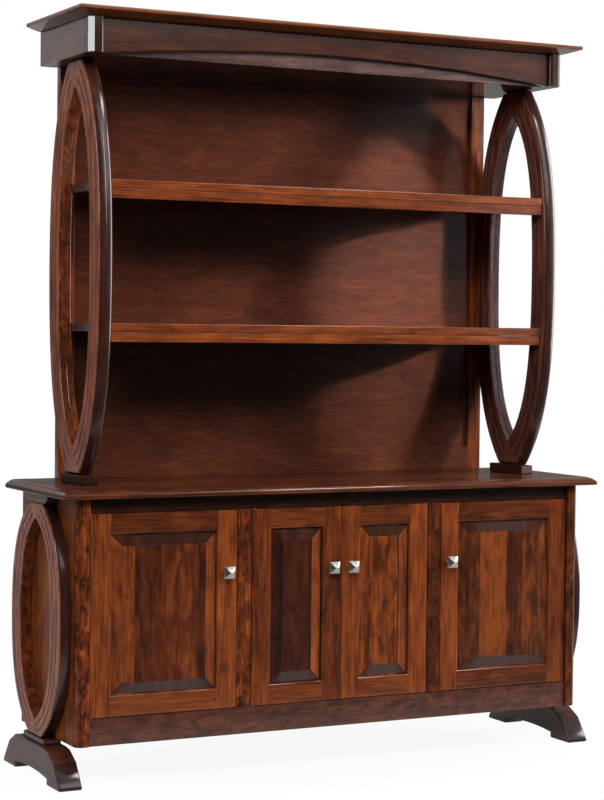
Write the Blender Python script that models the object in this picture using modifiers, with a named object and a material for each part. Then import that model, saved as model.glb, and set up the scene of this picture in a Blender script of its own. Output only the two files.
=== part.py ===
"""Credenza with hutch: a four-door cabinet on trestle feet between two oval end
rings, under an open hutch of two more rings, two shelves, a framed back and an
arched cornice. Metres, +Z up, +Y to the wall, origin under the middle of the whole.
"""

import math

import bmesh
import bpy
from mathutils import Matrix

# Clearances
GAP = 0.0003                  # between pieces that bear on each other
DOOR_GAP = 0.002              # round a closed door
HINGE_GAP = 0.003             # at a door's pivot edge, for its turning corner
PIN_CLEARANCE = 0.0003        # round a pivot pin in its bore
OVERRUN = 0.02                # how far a cutter runs past what it cuts

# Credenza top
TOP_WIDTH = 1.636
TOP_DEPTH = 0.455
TOP_THICKNESS = 0.023
TOP_NOSE = 0.010              # upright lower part of the edge
TOP_BEVEL = 0.025             # run of the raised edge
TOP_BEVEL_SHARES = ((0.42, 0.62), (1.0, 1.0))
BASE_HEIGHT = 0.775

# Trestle feet, their blocks and the caps over the base ovals
FOOT_LENGTH = 0.435
OVAL_SETBACK = 0.2455         # middle of feet and ovals, behind the front edge of the top
FOOT_WIDTH = 0.065
FOOT_OUTSET = 0.0097          # past the outer face of the base oval
FOOT_HEIGHT = 0.094
TOE_LIP = 0.009
TOE_KNEE_RUN = 0.012
TOE_KNEE_HEIGHT = 0.029
TOE_RUN = 0.044
TOE_HEIGHT = 0.066
SHOULDER_RUN = 0.090
SHOULDER_DROP = 0.004
CREST_RUN = 0.120
PAD_LENGTH = 0.096
ARCH_SPRING = 0.0155
ARCH_CROWN = 0.0235
ARCH_STEPS = 8
FOOT_EDGE = 0.004
BLOCK_LENGTH = 0.158
BLOCK_OUTSET = 0.0015         # past the outer face of the base oval
BLOCK_BEARING = 0.013         # how far the block reaches under the cabinet
BLOCK_EDGE = 0.003
CAP_LENGTH = 0.188
CAP_HEIGHT = 0.023
CAP_OUTSET = 0.0015
CAP_END_RUN = 0.022
CAP_END_RISE = 0.012

# Oval rings
OVAL_HALF_WIDTH = 0.189
OVAL_END_HALF_WIDTH = 0.051
OVAL_HOLE_HALF_WIDTH = 0.115
OVAL_EDGE = 0.003
OVAL_STEPS = 12
OVAL_RIM_SHARES = (0.50, 0.805, 0.785)
OVAL_HOLE_SHARES = (0.50, 0.80, 0.82)
BASE_OVAL_THICKNESS = 0.035
BASE_OVAL_TIP = 0.042         # solid wood between the hole and each end
HUTCH_OVAL_THICKNESS = 0.0385
HUTCH_OVAL_TIP = 0.0725
HUTCH_END_SETBACK = 0.113     # outer face of the hutch ovals, from the end of the top

# Cabinet
CABINET_LIFT = 0.016          # cabinet bottom above the feet, the height of the blocks
TOP_END_OVERHANG = 0.047      # end of the top past the cabinet side
CABINET_BACK_SETBACK = 0.010
DOOR_SETBACK = 0.0325         # door faces behind the front edge of the top
POST_PROUD = 0.0065
POST_WIDTH = 0.036
POST_CHAMFER = 0.012
FRAME_THICKNESS = 0.020
BOTTOM_RAIL_HEIGHT = 0.071
TOP_RAIL_HEIGHT = 0.039
MULLION_INNER = 0.2735        # from the middle to the inner edge of a mullion
MULLION_WIDTH = 0.0405
BOARD = 0.019                 # sides, partitions, floor and inner shelves
BACK_THICKNESS = 0.008
INNER_SHELF_RISE = 0.259      # underside above the cabinet floor
INNER_SHELF_SETBACK = 0.030

# Doors
DOOR_THICKNESS = 0.020
STILE_WIDTH = 0.057
DOOR_RAIL_HEIGHT = 0.054
STICKING = 0.004              # small slope round the inside of a door frame
GROOVE_DEPTH = 0.009
GROOVE_WIDTH = 0.006
PANEL_TONGUE = 0.0054
PANEL_BEVEL = 0.028
PANEL_FACE_DROP = 0.002       # raised field behind the face of the frame
PIN_RADIUS = 0.003
PIN_LENGTH = 0.022
PIN_IN_DOOR = 0.011
PIN_INSET = 0.006             # axis from the face and from the edge of the door
PIN_SEGMENTS = 24

# Knobs
KNOB_WIDTH = 0.032
KNOB_RIM = 0.004
KNOB_PEAK = 0.009
KNOB_DROP = 0.1675            # middle of a knob below the top of the doorway
STEM_RADIUS = 0.006
STEM_LENGTH = 0.015
STEM_SEGMENTS = 24

# Hutch
PLINTH_HEIGHT = 0.025
PLINTH_LENGTH = 0.178
PLINTH_OUTSET = 0.006
PLINTH_INSET = 0.006
PLINTH_SLANT = 0.018          # how much shorter each end is on the outer side
PLINTH_EDGE = 0.004
HUTCH_RISE = 1.101            # room for the ovals, from plinth to cornice
HUTCH_BACK_SETBACK = 0.010    # in front of the back edge of the top
BACK_POST_SETBACK = 0.025     # outer face inside that of the hutch oval
BACK_POST_WIDTH = 0.045
BACK_POST_DEPTH = 0.026
BACK_RAIL_HEIGHT = 0.068
BACK_PANEL_THICKNESS = 0.008
BACK_PANEL_DROP = 0.008
BACK_EDGE = 0.002
SHELF_FRONT = 0.0745          # behind the front edge of the top
SHELF_THICKNESS = 0.022
SHELF_TOP_RISES = (0.428, 0.802)  # above the top of the credenza
SHELF_EDGE = 0.002
APRON_HEIGHT = 0.027
APRON_THICKNESS = 0.018
APRON_DROP = 0.002
APRON_SHORTFALL = 0.002

# Cornice
CORNICE_HEIGHT = 0.0925       # corner posts and friezes
CORNICE_OUTSET = 0.024        # past the outer face of the hutch oval
CORNICE_FRONT = 0.0745        # behind the front edge of the top
CORNER_WIDTH = 0.041
CORNER_CHAMFER = 0.0145
CORNER_INNER_CHAMFER = 0.006
FRIEZE_SETBACK = 0.0175       # behind the corner posts
FRIEZE_THICKNESS = 0.019
ARCH_RISE = 0.039
FRIEZE_STEPS = 24
SOFFIT_LIP = 0.060
SOFFIT_LIP_THICKNESS = 0.019
SOFFIT_THICKNESS = 0.012
CROWN_OVERHANG = 0.0405
CROWN_SLOPE = 0.0120
CROWN_NOSE = 0.0097

# Finish colours, linear
STAINED_WOOD = (0.115, 0.032, 0.011, 1.0)
DARK_EDGE = (0.070, 0.024, 0.012, 1.0)
INSIDE_WOOD = (0.150, 0.055, 0.022, 1.0)
BRUSHED_NICKEL = (0.46, 0.43, 0.39, 1.0)
PLAIN_STEEL = (0.42, 0.42, 0.42, 1.0)
LACQUER_ROUGHNESS = 0.28
INSIDE_ROUGHNESS = 0.50
NICKEL_ROUGHNESS = 0.32
METAL = 1.0
NOT_METAL = 0.0

# Places along Y, from the front edge of the top
FOREMOST = min(0.0, OVAL_SETBACK - FOOT_LENGTH / 2)
REARMOST = max(TOP_DEPTH, OVAL_SETBACK + FOOT_LENGTH / 2)
NOSE_Y = -(FOREMOST + REARMOST) / 2
TOP_BACK_Y = NOSE_Y + TOP_DEPTH
OVAL_Y = NOSE_Y + OVAL_SETBACK
DOOR_Y = NOSE_Y + DOOR_SETBACK
POST_FRONT_Y = DOOR_Y - POST_PROUD
FRAME_BACK_Y = DOOR_Y + FRAME_THICKNESS
CABINET_BACK_Y = TOP_BACK_Y - CABINET_BACK_SETBACK
HUTCH_BACK_Y = TOP_BACK_Y - HUTCH_BACK_SETBACK
BACK_POST_FRONT_Y = HUTCH_BACK_Y - BACK_POST_DEPTH
CORNICE_FRONT_Y = NOSE_Y + CORNICE_FRONT
FRIEZE_Y = CORNICE_FRONT_Y + FRIEZE_SETBACK
CORNER_BACK_Y = FRIEZE_Y + FRIEZE_THICKNESS
BACK_PANEL_Y = BACK_POST_FRONT_Y + BACK_PANEL_DROP

# Places along Z
TOP_UNDERSIDE = BASE_HEIGHT - TOP_THICKNESS
CABINET_BOTTOM = FOOT_HEIGHT + CABINET_LIFT
DOORWAY_BOTTOM = CABINET_BOTTOM + BOTTOM_RAIL_HEIGHT
DOORWAY_TOP = TOP_UNDERSIDE - TOP_RAIL_HEIGHT
KNOB_Z = DOORWAY_TOP - KNOB_DROP
INNER_SHELF_BOTTOM = DOORWAY_BOTTOM + INNER_SHELF_RISE
PLINTH_TOP = BASE_HEIGHT + PLINTH_HEIGHT
CORNICE_BOTTOM = PLINTH_TOP + HUTCH_RISE
CORNICE_TOP = CORNICE_BOTTOM + CORNICE_HEIGHT

# Places along X
TOP_HALF_WIDTH = TOP_WIDTH / 2
CABINET_HALF_WIDTH = TOP_HALF_WIDTH - TOP_END_OVERHANG
POST_INNER = CABINET_HALF_WIDTH - POST_WIDTH
SIDE_INNER = CABINET_HALF_WIDTH - BOARD
MULLION_OUTER = MULLION_INNER + MULLION_WIDTH
PARTITION_MIDDLE = MULLION_INNER + MULLION_WIDTH / 2
BASE_OVAL_INNER = CABINET_HALF_WIDTH + GAP
BASE_OVAL_OUTER = BASE_OVAL_INNER + BASE_OVAL_THICKNESS
HUTCH_OVAL_OUTER = TOP_HALF_WIDTH - HUTCH_END_SETBACK
HUTCH_OVAL_INNER = HUTCH_OVAL_OUTER - HUTCH_OVAL_THICKNESS
BACK_POST_OUTER = HUTCH_OVAL_OUTER - BACK_POST_SETBACK
CORNICE_HALF_WIDTH = HUTCH_OVAL_OUTER + CORNICE_OUTSET

SIDES = (("left", -1), ("right", 1))

# Angles
SHARP_ANGLE = math.radians(40)
FLAT_ANGLE = math.radians(0.3)


def clear_scene():
    """Remove what the scene holds."""
    for thing in list(bpy.data.objects):
        bpy.data.objects.remove(thing, do_unlink=True)


def new_collection(name):
    """Make a collection and link it to the scene."""
    group = bpy.data.collections.new(name)
    bpy.context.scene.collection.children.link(group)
    return group


def finish(thing, colour, roughness, metallic=NOT_METAL):
    """Give an object a Principled material of its own."""
    skin = bpy.data.materials.new(thing.name + "_finish")
    skin.use_nodes = True
    shader = skin.node_tree.nodes["Principled BSDF"]
    shader.inputs["Base Color"].default_value = colour
    shader.inputs["Roughness"].default_value = roughness
    shader.inputs["Metallic"].default_value = metallic
    skin.diffuse_color = colour
    thing.data.materials.append(skin)


def wood(thing, colour=STAINED_WOOD):
    """Finish an object as stained and lacquered wood."""
    finish(thing, colour, LACQUER_ROUGHNESS)


def add_object(name, mesh, group, location=(0.0, 0.0, 0.0)):
    """Link a mesh as a named object."""
    thing = bpy.data.objects.new(name, mesh)
    thing.location = location
    group.objects.link(thing)
    return thing


def box(name, group, xs, ys, zs):
    """Add a box between two values along each axis, its origin at its middle."""
    size = [high - low for low, high in (xs, ys, zs)]
    middle = [(low + high) / 2 for low, high in (xs, ys, zs)]
    form = bmesh.new()
    bmesh.ops.create_cube(form, size=1.0, matrix=Matrix.Diagonal((*size, 1.0)))
    mesh = bpy.data.meshes.new(name)
    form.to_mesh(mesh)
    form.free()
    return add_object(name, mesh, group, middle)


def set_rim(face, rim):
    """Move a face's corners to a rectangle: a height, an X range and a Y range."""
    height, xs, ys = rim
    middle = face.calc_center_median()
    for corner in face.verts:
        corner.co = (xs[corner.co.x > middle.x], ys[corner.co.y > middle.y], height)


def stack(name, group, rims, location, turn=(0.0, 0.0, 0.0)):
    """Add a solid grown from a cube up through rectangles."""
    form = bmesh.new()
    bmesh.ops.create_cube(form, size=1.0)
    by_height = sorted(form.faces, key=lambda piece: piece.calc_center_median().z)
    lid = by_height[-1]
    set_rim(by_height[0], rims[0])
    set_rim(lid, rims[1])
    for rim in rims[2:]:
        grown = bmesh.ops.extrude_face_region(form, geom=[lid, *lid.edges])["geom"]
        lid = next(piece for piece in grown if isinstance(piece, bmesh.types.BMFace))
        set_rim(lid, rim)
    bmesh.ops.recalc_face_normals(form, faces=form.faces)
    mesh = bpy.data.meshes.new(name)
    form.to_mesh(mesh)
    form.free()
    thing = add_object(name, mesh, group, location)
    thing.rotation_euler = turn
    return thing


def board(name, group, half_width, front, back, levels):
    """Add a board through (height, inset) levels, drawn in at the front and both ends."""
    rims = []
    for height, inset in levels:
        rims.append((height, (inset - half_width, half_width - inset), (front + inset, back)))
    return stack(name, group, rims, (0.0, 0.0, 0.0))


def side_span(side, inner, outer):
    """The X range between two distances from the middle, on one side."""
    return tuple(sorted((side * inner, side * outer)))


def plate(name, group, outlines, thickness, turn, location):
    """Add a flat outline, with any holes, as a board of the given thickness."""
    curve = bpy.data.curves.new(name + "_outline", "CURVE")
    curve.dimensions = "2D"
    curve.fill_mode = "BOTH"
    curve.extrude = thickness / 2
    for points in outlines:
        spline = curve.splines.new("POLY")
        spline.points.add(len(points) - 1)
        for spot, (across, up) in zip(spline.points, points):
            spot.co = (across, up, 0.0, 1.0)
        spline.use_cyclic_u = True
    sketch = bpy.data.objects.new(name + "_sketch", curve)
    group.objects.link(sketch)
    bpy.context.view_layer.update()
    graph = bpy.context.evaluated_depsgraph_get()
    mesh = bpy.data.meshes.new_from_object(sketch.evaluated_get(graph))
    bpy.data.objects.remove(sketch, do_unlink=True)
    form = bmesh.new()
    form.from_mesh(mesh)
    bmesh.ops.remove_doubles(form, verts=form.verts, dist=GAP / 10)
    bmesh.ops.dissolve_limit(form, angle_limit=FLAT_ANGLE, verts=form.verts, edges=form.edges)
    bmesh.ops.recalc_face_normals(form, faces=form.faces)
    form.to_mesh(mesh)
    form.free()
    thing = add_object(name, mesh, group, location)
    thing.rotation_euler = turn
    return thing


# A board whose outline lies in Y and Z, in X and Z, or in X and Y
UPRIGHT_ALONG_Y = (math.pi / 2, 0.0, math.pi / 2)
UPRIGHT_ALONG_X = (math.pi / 2, 0.0, 0.0)
LYING = (0.0, 0.0, 0.0)


def cylinder(name, group, radius, depth, segments, centre, turn=LYING):
    """Add a cylinder about its own middle."""
    form = bmesh.new()
    bmesh.ops.create_cone(
        form, cap_ends=True, segments=segments, radius1=radius, radius2=radius, depth=depth,
    )
    mesh = bpy.data.meshes.new(name)
    form.to_mesh(mesh)
    form.free()
    mesh.shade_smooth()
    mesh.set_sharp_from_angle(angle=SHARP_ANGLE)
    thing = add_object(name, mesh, group, centre)
    thing.rotation_euler = turn
    return thing


def bevel(thing, width):
    """Break an object's sharp edges with a flat."""
    edge = thing.modifiers.new("broken_edges", "BEVEL")
    edge.width = width
    edge.segments = 1
    edge.limit_method = "ANGLE"
    edge.angle_limit = SHARP_ANGLE


def combine(thing, other, operation):
    """Cut or join an object with another, exactly."""
    step = thing.modifiers.new(operation.lower(), "BOOLEAN")
    step.object = other
    step.operation = operation
    step.solver = "EXACT"


def hide_cutter(thing):
    """Show a cutter only as wires."""
    thing.hide_render = True
    thing.display_type = "WIRE"


def cubic(start, first, second, end, steps):
    """Points along a cubic curve, without its last one."""
    points = []
    for index in range(steps):
        t = index / steps
        weights = ((1 - t) ** 3, 3 * t * (1 - t) ** 2, 3 * t ** 2 * (1 - t), t ** 3)
        spots = (start, first, second, end)
        points.append(tuple(sum(w * s[axis] for w, s in zip(weights, spots)) for axis in (0, 1)))
    return points


def oval_outline(half_width, half_height, end_half_width, shares):
    """A pointed oval about its middle, cut straight across where its ends have width."""
    rise_share, near_end_share, near_top_share = shares
    lower = (half_width, half_height * rise_share)
    upper = (half_width * near_end_share, half_height * near_top_share)
    quarter = cubic((half_width, 0.0), lower, upper, (end_half_width, half_height), OVAL_STEPS)
    quarter.append((end_half_width, half_height))
    top = quarter + [(-across, up) for across, up in reversed(quarter)]
    if end_half_width == 0:
        top.pop(len(quarter))
    bottom = [(-across, -up) for across, up in top[1:-1]]
    return top + bottom


def oval_ring(name, group, inner, outer, side, bottom, top, tip):
    """Add a ring between two distances from the middle and two heights."""
    half_height = (top - bottom) / 2
    rim = oval_outline(OVAL_HALF_WIDTH, half_height, OVAL_END_HALF_WIDTH, OVAL_RIM_SHARES)
    hole = oval_outline(OVAL_HOLE_HALF_WIDTH, half_height - tip, 0.0, OVAL_HOLE_SHARES)
    centre = (side * (inner + outer) / 2, OVAL_Y, (top + bottom) / 2)
    ring = plate(name, group, (rim, hole), outer - inner, UPRIGHT_ALONG_Y, centre)
    wood(ring)
    bevel(ring, OVAL_EDGE)
    return ring


def foot_outline():
    """The side view of a trestle foot, about the middle of its length."""
    half = FOOT_LENGTH / 2
    front = [
        (half - PAD_LENGTH, 0.0),
        (half, 0.0),
        (half, TOE_LIP),
        (half - TOE_KNEE_RUN, TOE_KNEE_HEIGHT),
        (half - TOE_RUN, TOE_HEIGHT),
        (half - SHOULDER_RUN, FOOT_HEIGHT - SHOULDER_DROP),
        (half - CREST_RUN, FOOT_HEIGHT),
    ]
    back = [(-across, up) for across, up in reversed(front)]
    span = half - PAD_LENGTH
    under = []
    for index in range(ARCH_STEPS + 1):
        across = -span + 2 * span * index / ARCH_STEPS
        bow = 1 - (across / span) ** 2
        under.append((across, ARCH_SPRING + (ARCH_CROWN - ARCH_SPRING) * bow))
    return front + back + under


def make_feet(parts):
    """Feet, the blocks on them, the base ovals and the caps over those."""
    for word, side in SIDES:
        outer = BASE_OVAL_OUTER + FOOT_OUTSET
        middle = side * (outer - FOOT_WIDTH / 2)
        place = (middle, OVAL_Y, 0.0)
        foot = plate("foot_" + word, parts, (foot_outline(),), FOOT_WIDTH, UPRIGHT_ALONG_Y, place)
        wood(foot, DARK_EDGE)
        bevel(foot, FOOT_EDGE)
        xs = side_span(side, CABINET_HALF_WIDTH - BLOCK_BEARING, BASE_OVAL_OUTER + BLOCK_OUTSET)
        ys = (OVAL_Y - BLOCK_LENGTH / 2, OVAL_Y + BLOCK_LENGTH / 2)
        block = box("foot_block_" + word, parts, xs, ys, (FOOT_HEIGHT + GAP, CABINET_BOTTOM - GAP))
        wood(block, DARK_EDGE)
        bevel(block, BLOCK_EDGE)
        oval_ring(
            "base_oval_" + word, parts, BASE_OVAL_INNER, BASE_OVAL_OUTER, side,
            CABINET_BOTTOM, TOP_UNDERSIDE - CAP_HEIGHT - GAP, BASE_OVAL_TIP,
        )
        half = CAP_LENGTH / 2
        cap_bottom = TOP_UNDERSIDE - CAP_HEIGHT
        outline = (
            (half - CAP_END_RUN, 0.0),
            (half, CAP_END_RISE),
            (half, CAP_HEIGHT - GAP),
            (-half, CAP_HEIGHT - GAP),
            (-half, CAP_END_RISE),
            (CAP_END_RUN - half, 0.0),
        )
        width = BASE_OVAL_THICKNESS + CAP_OUTSET
        place = (side * (BASE_OVAL_INNER + width / 2), OVAL_Y, cap_bottom)
        cap = plate("oval_cap_" + word, parts, (outline,), width, UPRIGHT_ALONG_Y, place)
        wood(cap, DARK_EDGE)


def make_top(parts):
    """The credenza's top, with its raised edge."""
    rise = TOP_THICKNESS - TOP_NOSE
    levels = [(TOP_UNDERSIDE, 0.0), (TOP_UNDERSIDE + TOP_NOSE, 0.0)]
    for run_share, rise_share in TOP_BEVEL_SHARES:
        levels.append((TOP_UNDERSIDE + TOP_NOSE + rise * rise_share, TOP_BEVEL * run_share))
    top = board("credenza_top", parts, TOP_HALF_WIDTH, NOSE_Y, TOP_BACK_Y, levels)
    wood(top)


def make_corner_post(name, group, side, inner, outer, front, back, chamfer, inner_chamfer, zs):
    """Add an upright post whose front corners are cut off."""
    outline = [
        (side * inner, back),
        (side * inner, front + inner_chamfer),
        (side * (inner + inner_chamfer), front),
        (side * (outer - chamfer), front),
        (side * outer, front + chamfer),
        (side * outer, back),
    ]
    if inner_chamfer == 0:
        outline.pop(1)
    low, high = zs
    post = plate(name, group, (outline,), high - low, LYING, (0.0, 0.0, (low + high) / 2))
    wood(post)
    return post


def pivot_places():
    """Each door's number, its pivot side and its pivot's X."""
    outer = POST_INNER - HINGE_GAP - PIN_INSET
    inner = MULLION_INNER - HINGE_GAP - PIN_INSET
    return ((1, -1, -outer), (2, -1, -inner), (3, 1, inner), (4, 1, outer))


def bore_pivots(rail, cutters, face):
    """Sink the four doors' pivot bores in a rail, to either side of the given height."""
    depth = 2 * (PIN_LENGTH - PIN_IN_DOOR)
    for number, _side, across in pivot_places():
        spot = (across, DOOR_Y + PIN_INSET, face)
        name = "%s_bore_%d" % (rail.name, number)
        drill = cylinder(name, cutters, PIN_RADIUS + PIN_CLEARANCE, depth, PIN_SEGMENTS, spot)
        hide_cutter(drill)
        combine(rail, drill, "DIFFERENCE")


def make_carcass(parts, cutters):
    """The cabinet's frame, sides, floor, partitions, back and inner shelves."""
    upright = (CABINET_BOTTOM, TOP_UNDERSIDE - GAP)
    for word, side in SIDES:
        make_corner_post(
            "front_post_" + word, parts, side, POST_INNER, CABINET_HALF_WIDTH,
            POST_FRONT_Y, FRAME_BACK_Y, POST_CHAMFER, 0.0, upright,
        )
        xs = side_span(side, SIDE_INNER, CABINET_HALF_WIDTH)
        wood(box("side_panel_" + word, parts, xs, (FRAME_BACK_Y + GAP, CABINET_BACK_Y), upright))
        xs = side_span(side, MULLION_INNER, MULLION_OUTER)
        zs = (DOORWAY_BOTTOM + GAP, DOORWAY_TOP - GAP)
        wood(box("mullion_" + word, parts, xs, (DOOR_Y, FRAME_BACK_Y), zs))
        xs = side_span(side, PARTITION_MIDDLE - BOARD / 2, PARTITION_MIDDLE + BOARD / 2)
        ys = (FRAME_BACK_Y + GAP, CABINET_BACK_Y - BACK_THICKNESS - GAP)
        partition = box("partition_" + word, parts, xs, ys, (DOORWAY_BOTTOM + GAP, TOP_UNDERSIDE - GAP))
        finish(partition, INSIDE_WOOD, INSIDE_ROUGHNESS)
        xs = side_span(side, PARTITION_MIDDLE + BOARD / 2 + GAP, SIDE_INNER - GAP)
        ys = (FRAME_BACK_Y + INNER_SHELF_SETBACK, CABINET_BACK_Y - BACK_THICKNESS - GAP)
        zs = (INNER_SHELF_BOTTOM, INNER_SHELF_BOTTOM + BOARD)
        finish(box("inner_shelf_" + word, parts, xs, ys, zs), INSIDE_WOOD, INSIDE_ROUGHNESS)
    xs = (GAP - POST_INNER, POST_INNER - GAP)
    ys = (DOOR_Y, FRAME_BACK_Y)
    bottom_rail = box("bottom_rail", parts, xs, ys, (CABINET_BOTTOM, DOORWAY_BOTTOM))
    top_rail = box("top_rail", parts, xs, ys, (DOORWAY_TOP, TOP_UNDERSIDE - GAP))
    bore_pivots(bottom_rail, cutters, DOORWAY_BOTTOM)
    bore_pivots(top_rail, cutters, DOORWAY_TOP)
    wood(bottom_rail)
    wood(top_rail)
    xs = (GAP - SIDE_INNER, SIDE_INNER - GAP)
    ys = (FRAME_BACK_Y + GAP, CABINET_BACK_Y - BACK_THICKNESS - GAP)
    floor = box("cabinet_floor", parts, xs, ys, (DOORWAY_BOTTOM - BOARD, DOORWAY_BOTTOM))
    finish(floor, INSIDE_WOOD, INSIDE_ROUGHNESS)
    ys = (CABINET_BACK_Y - BACK_THICKNESS, CABINET_BACK_Y)
    back = box("cabinet_back", parts, xs, ys, upright)
    finish(back, INSIDE_WOOD, INSIDE_ROUGHNESS)


def make_door(parts, cutters, number, side, across):
    """A door's frame, raised panel, knob and two pivot pins, on its pivot's axis."""
    hinge_edge = across + side * PIN_INSET
    if number in (1, 4):
        free_edge = side * (MULLION_OUTER + DOOR_GAP)
    else:
        free_edge = side * DOOR_GAP / 2
    xs = tuple(sorted((hinge_edge, free_edge)))
    ys = (DOOR_Y, DOOR_Y + DOOR_THICKNESS)
    zs = (DOORWAY_BOTTOM + DOOR_GAP, DOORWAY_TOP - DOOR_GAP)
    axis = bpy.data.objects.new("door_%d_axis" % number, None)
    axis.location = (across, DOOR_Y + PIN_INSET, 0.0)
    parts.objects.link(axis)
    frame = box("door_%d_frame" % number, parts, xs, ys, zs)
    open_xs = (xs[0] + STILE_WIDTH, xs[1] - STILE_WIDTH)
    open_zs = (zs[0] + DOOR_RAIL_HEIGHT, zs[1] - DOOR_RAIL_HEIGHT)
    cut_ys = (ys[0] - OVERRUN, ys[1] + OVERRUN)
    window = box("door_%d_window" % number, cutters, open_xs, cut_ys, open_zs)
    groove_middle = (ys[0] + ys[1]) / 2
    groove_ys = (groove_middle - GROOVE_WIDTH / 2, groove_middle + GROOVE_WIDTH / 2)
    groove_xs = (open_xs[0] - GROOVE_DEPTH, open_xs[1] + GROOVE_DEPTH)
    groove_zs = (open_zs[0] - GROOVE_DEPTH, open_zs[1] + GROOVE_DEPTH)
    groove = box("door_%d_groove" % number, cutters, groove_xs, groove_ys, groove_zs)
    slope = sticking_cutter("door_%d_sticking" % number, cutters, open_xs, open_zs, ys[0])
    for cutter in (window, groove, slope):
        hide_cutter(cutter)
        combine(frame, cutter, "DIFFERENCE")
    wood(frame)
    face = ys[0] + PANEL_FACE_DROP
    panel = raised_panel("door_%d_panel" % number, parts, groove_xs, groove_zs, groove_middle, face)
    wood(panel)
    knob_across = free_edge + side * STILE_WIDTH / 2
    knob = make_knob("door_%d_knob" % number, parts, cutters, (knob_across, ys[0] - GAP, KNOB_Z))
    pieces = [frame, panel, knob]
    for word, end, way in (("lower", zs[0], 1), ("upper", zs[1], -1)):
        middle = end + way * (PIN_IN_DOOR - PIN_LENGTH / 2)
        spot = (across, DOOR_Y + PIN_INSET, middle)
        name = "door_%d_pivot_%s" % (number, word)
        pin = cylinder(name, parts, PIN_RADIUS, PIN_LENGTH, PIN_SEGMENTS, spot)
        finish(pin, PLAIN_STEEL, NICKEL_ROUGHNESS, METAL)
        pieces.append(pin)
        spot = (across, DOOR_Y + PIN_INSET, end)
        name = "door_%d_bore_%s" % (number, word)
        depth = 2 * (PIN_IN_DOOR + PIN_CLEARANCE)
        drill = cylinder(name, cutters, PIN_RADIUS + PIN_CLEARANCE, depth, PIN_SEGMENTS, spot)
        hide_cutter(drill)
        combine(frame, drill, "DIFFERENCE")
    for piece in pieces:
        piece.parent = axis
        piece.matrix_parent_inverse = Matrix.Translation(axis.location).inverted()


def sticking_cutter(name, group, xs, zs, face):
    """A flared cutter that slopes the inner front edges of a door frame."""
    half_x = (xs[1] - xs[0]) / 2
    half_z = (zs[1] - zs[0]) / 2
    rims = []
    for height, flare in ((-STICKING, 0.0), (0.0, STICKING), (OVERRUN, STICKING)):
        rims.append((height, (-half_x - flare, half_x + flare), (-half_z - flare, half_z + flare)))
    place = ((xs[0] + xs[1]) / 2, face, (zs[0] + zs[1]) / 2)
    return stack(name, group, rims, place, UPRIGHT_ALONG_X)


def raised_panel(name, group, groove_xs, groove_zs, tongue_y, face):
    """A panel whose edge is a tongue in the frame's groove and whose field is raised."""
    half_x = (groove_xs[1] - groove_xs[0]) / 2 - GAP
    half_z = (groove_zs[1] - groove_zs[0]) / 2 - GAP
    tongue = PANEL_TONGUE / 2
    reach = GROOVE_DEPTH + STICKING
    field = tongue_y - face
    rims = []
    for height, inset in ((-tongue, 0.0), (tongue, 0.0), (tongue, reach), (field, reach + PANEL_BEVEL)):
        rims.append((height, (inset - half_x, half_x - inset), (inset - half_z, half_z - inset)))
    place = ((groove_xs[0] + groove_xs[1]) / 2, tongue_y, (groove_zs[0] + groove_zs[1]) / 2)
    return stack(name, group, rims, place, UPRIGHT_ALONG_X)


def make_knob(name, group, cutters, seat):
    """A square knob with a low pyramid for a face, on a round stem."""
    across, face, height = seat
    stem_middle = (across, face - STEM_LENGTH / 2, height)
    knob = cylinder(name, group, STEM_RADIUS, STEM_LENGTH, STEM_SEGMENTS, stem_middle, UPRIGHT_ALONG_X)
    form = bmesh.new()
    corner_radius = KNOB_WIDTH / math.sqrt(2)
    bmesh.ops.create_cone(
        form, cap_ends=True, segments=4, radius1=corner_radius, radius2=corner_radius, depth=KNOB_RIM,
        matrix=Matrix.Rotation(math.pi / 4, 4, "Z"),
    )
    front = max(form.faces, key=lambda piece: piece.calc_center_median().z)
    peak = bmesh.ops.poke(form, faces=[front])["verts"][0]
    peak.co.z += KNOB_PEAK
    mesh = bpy.data.meshes.new(name + "_head")
    form.to_mesh(mesh)
    form.free()
    head = add_object(name + "_head", mesh, cutters, (across, face - STEM_LENGTH, height))
    head.rotation_euler = UPRIGHT_ALONG_X
    hide_cutter(head)
    combine(knob, head, "UNION")
    finish(knob, BRUSHED_NICKEL, NICKEL_ROUGHNESS, METAL)
    return knob


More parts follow.
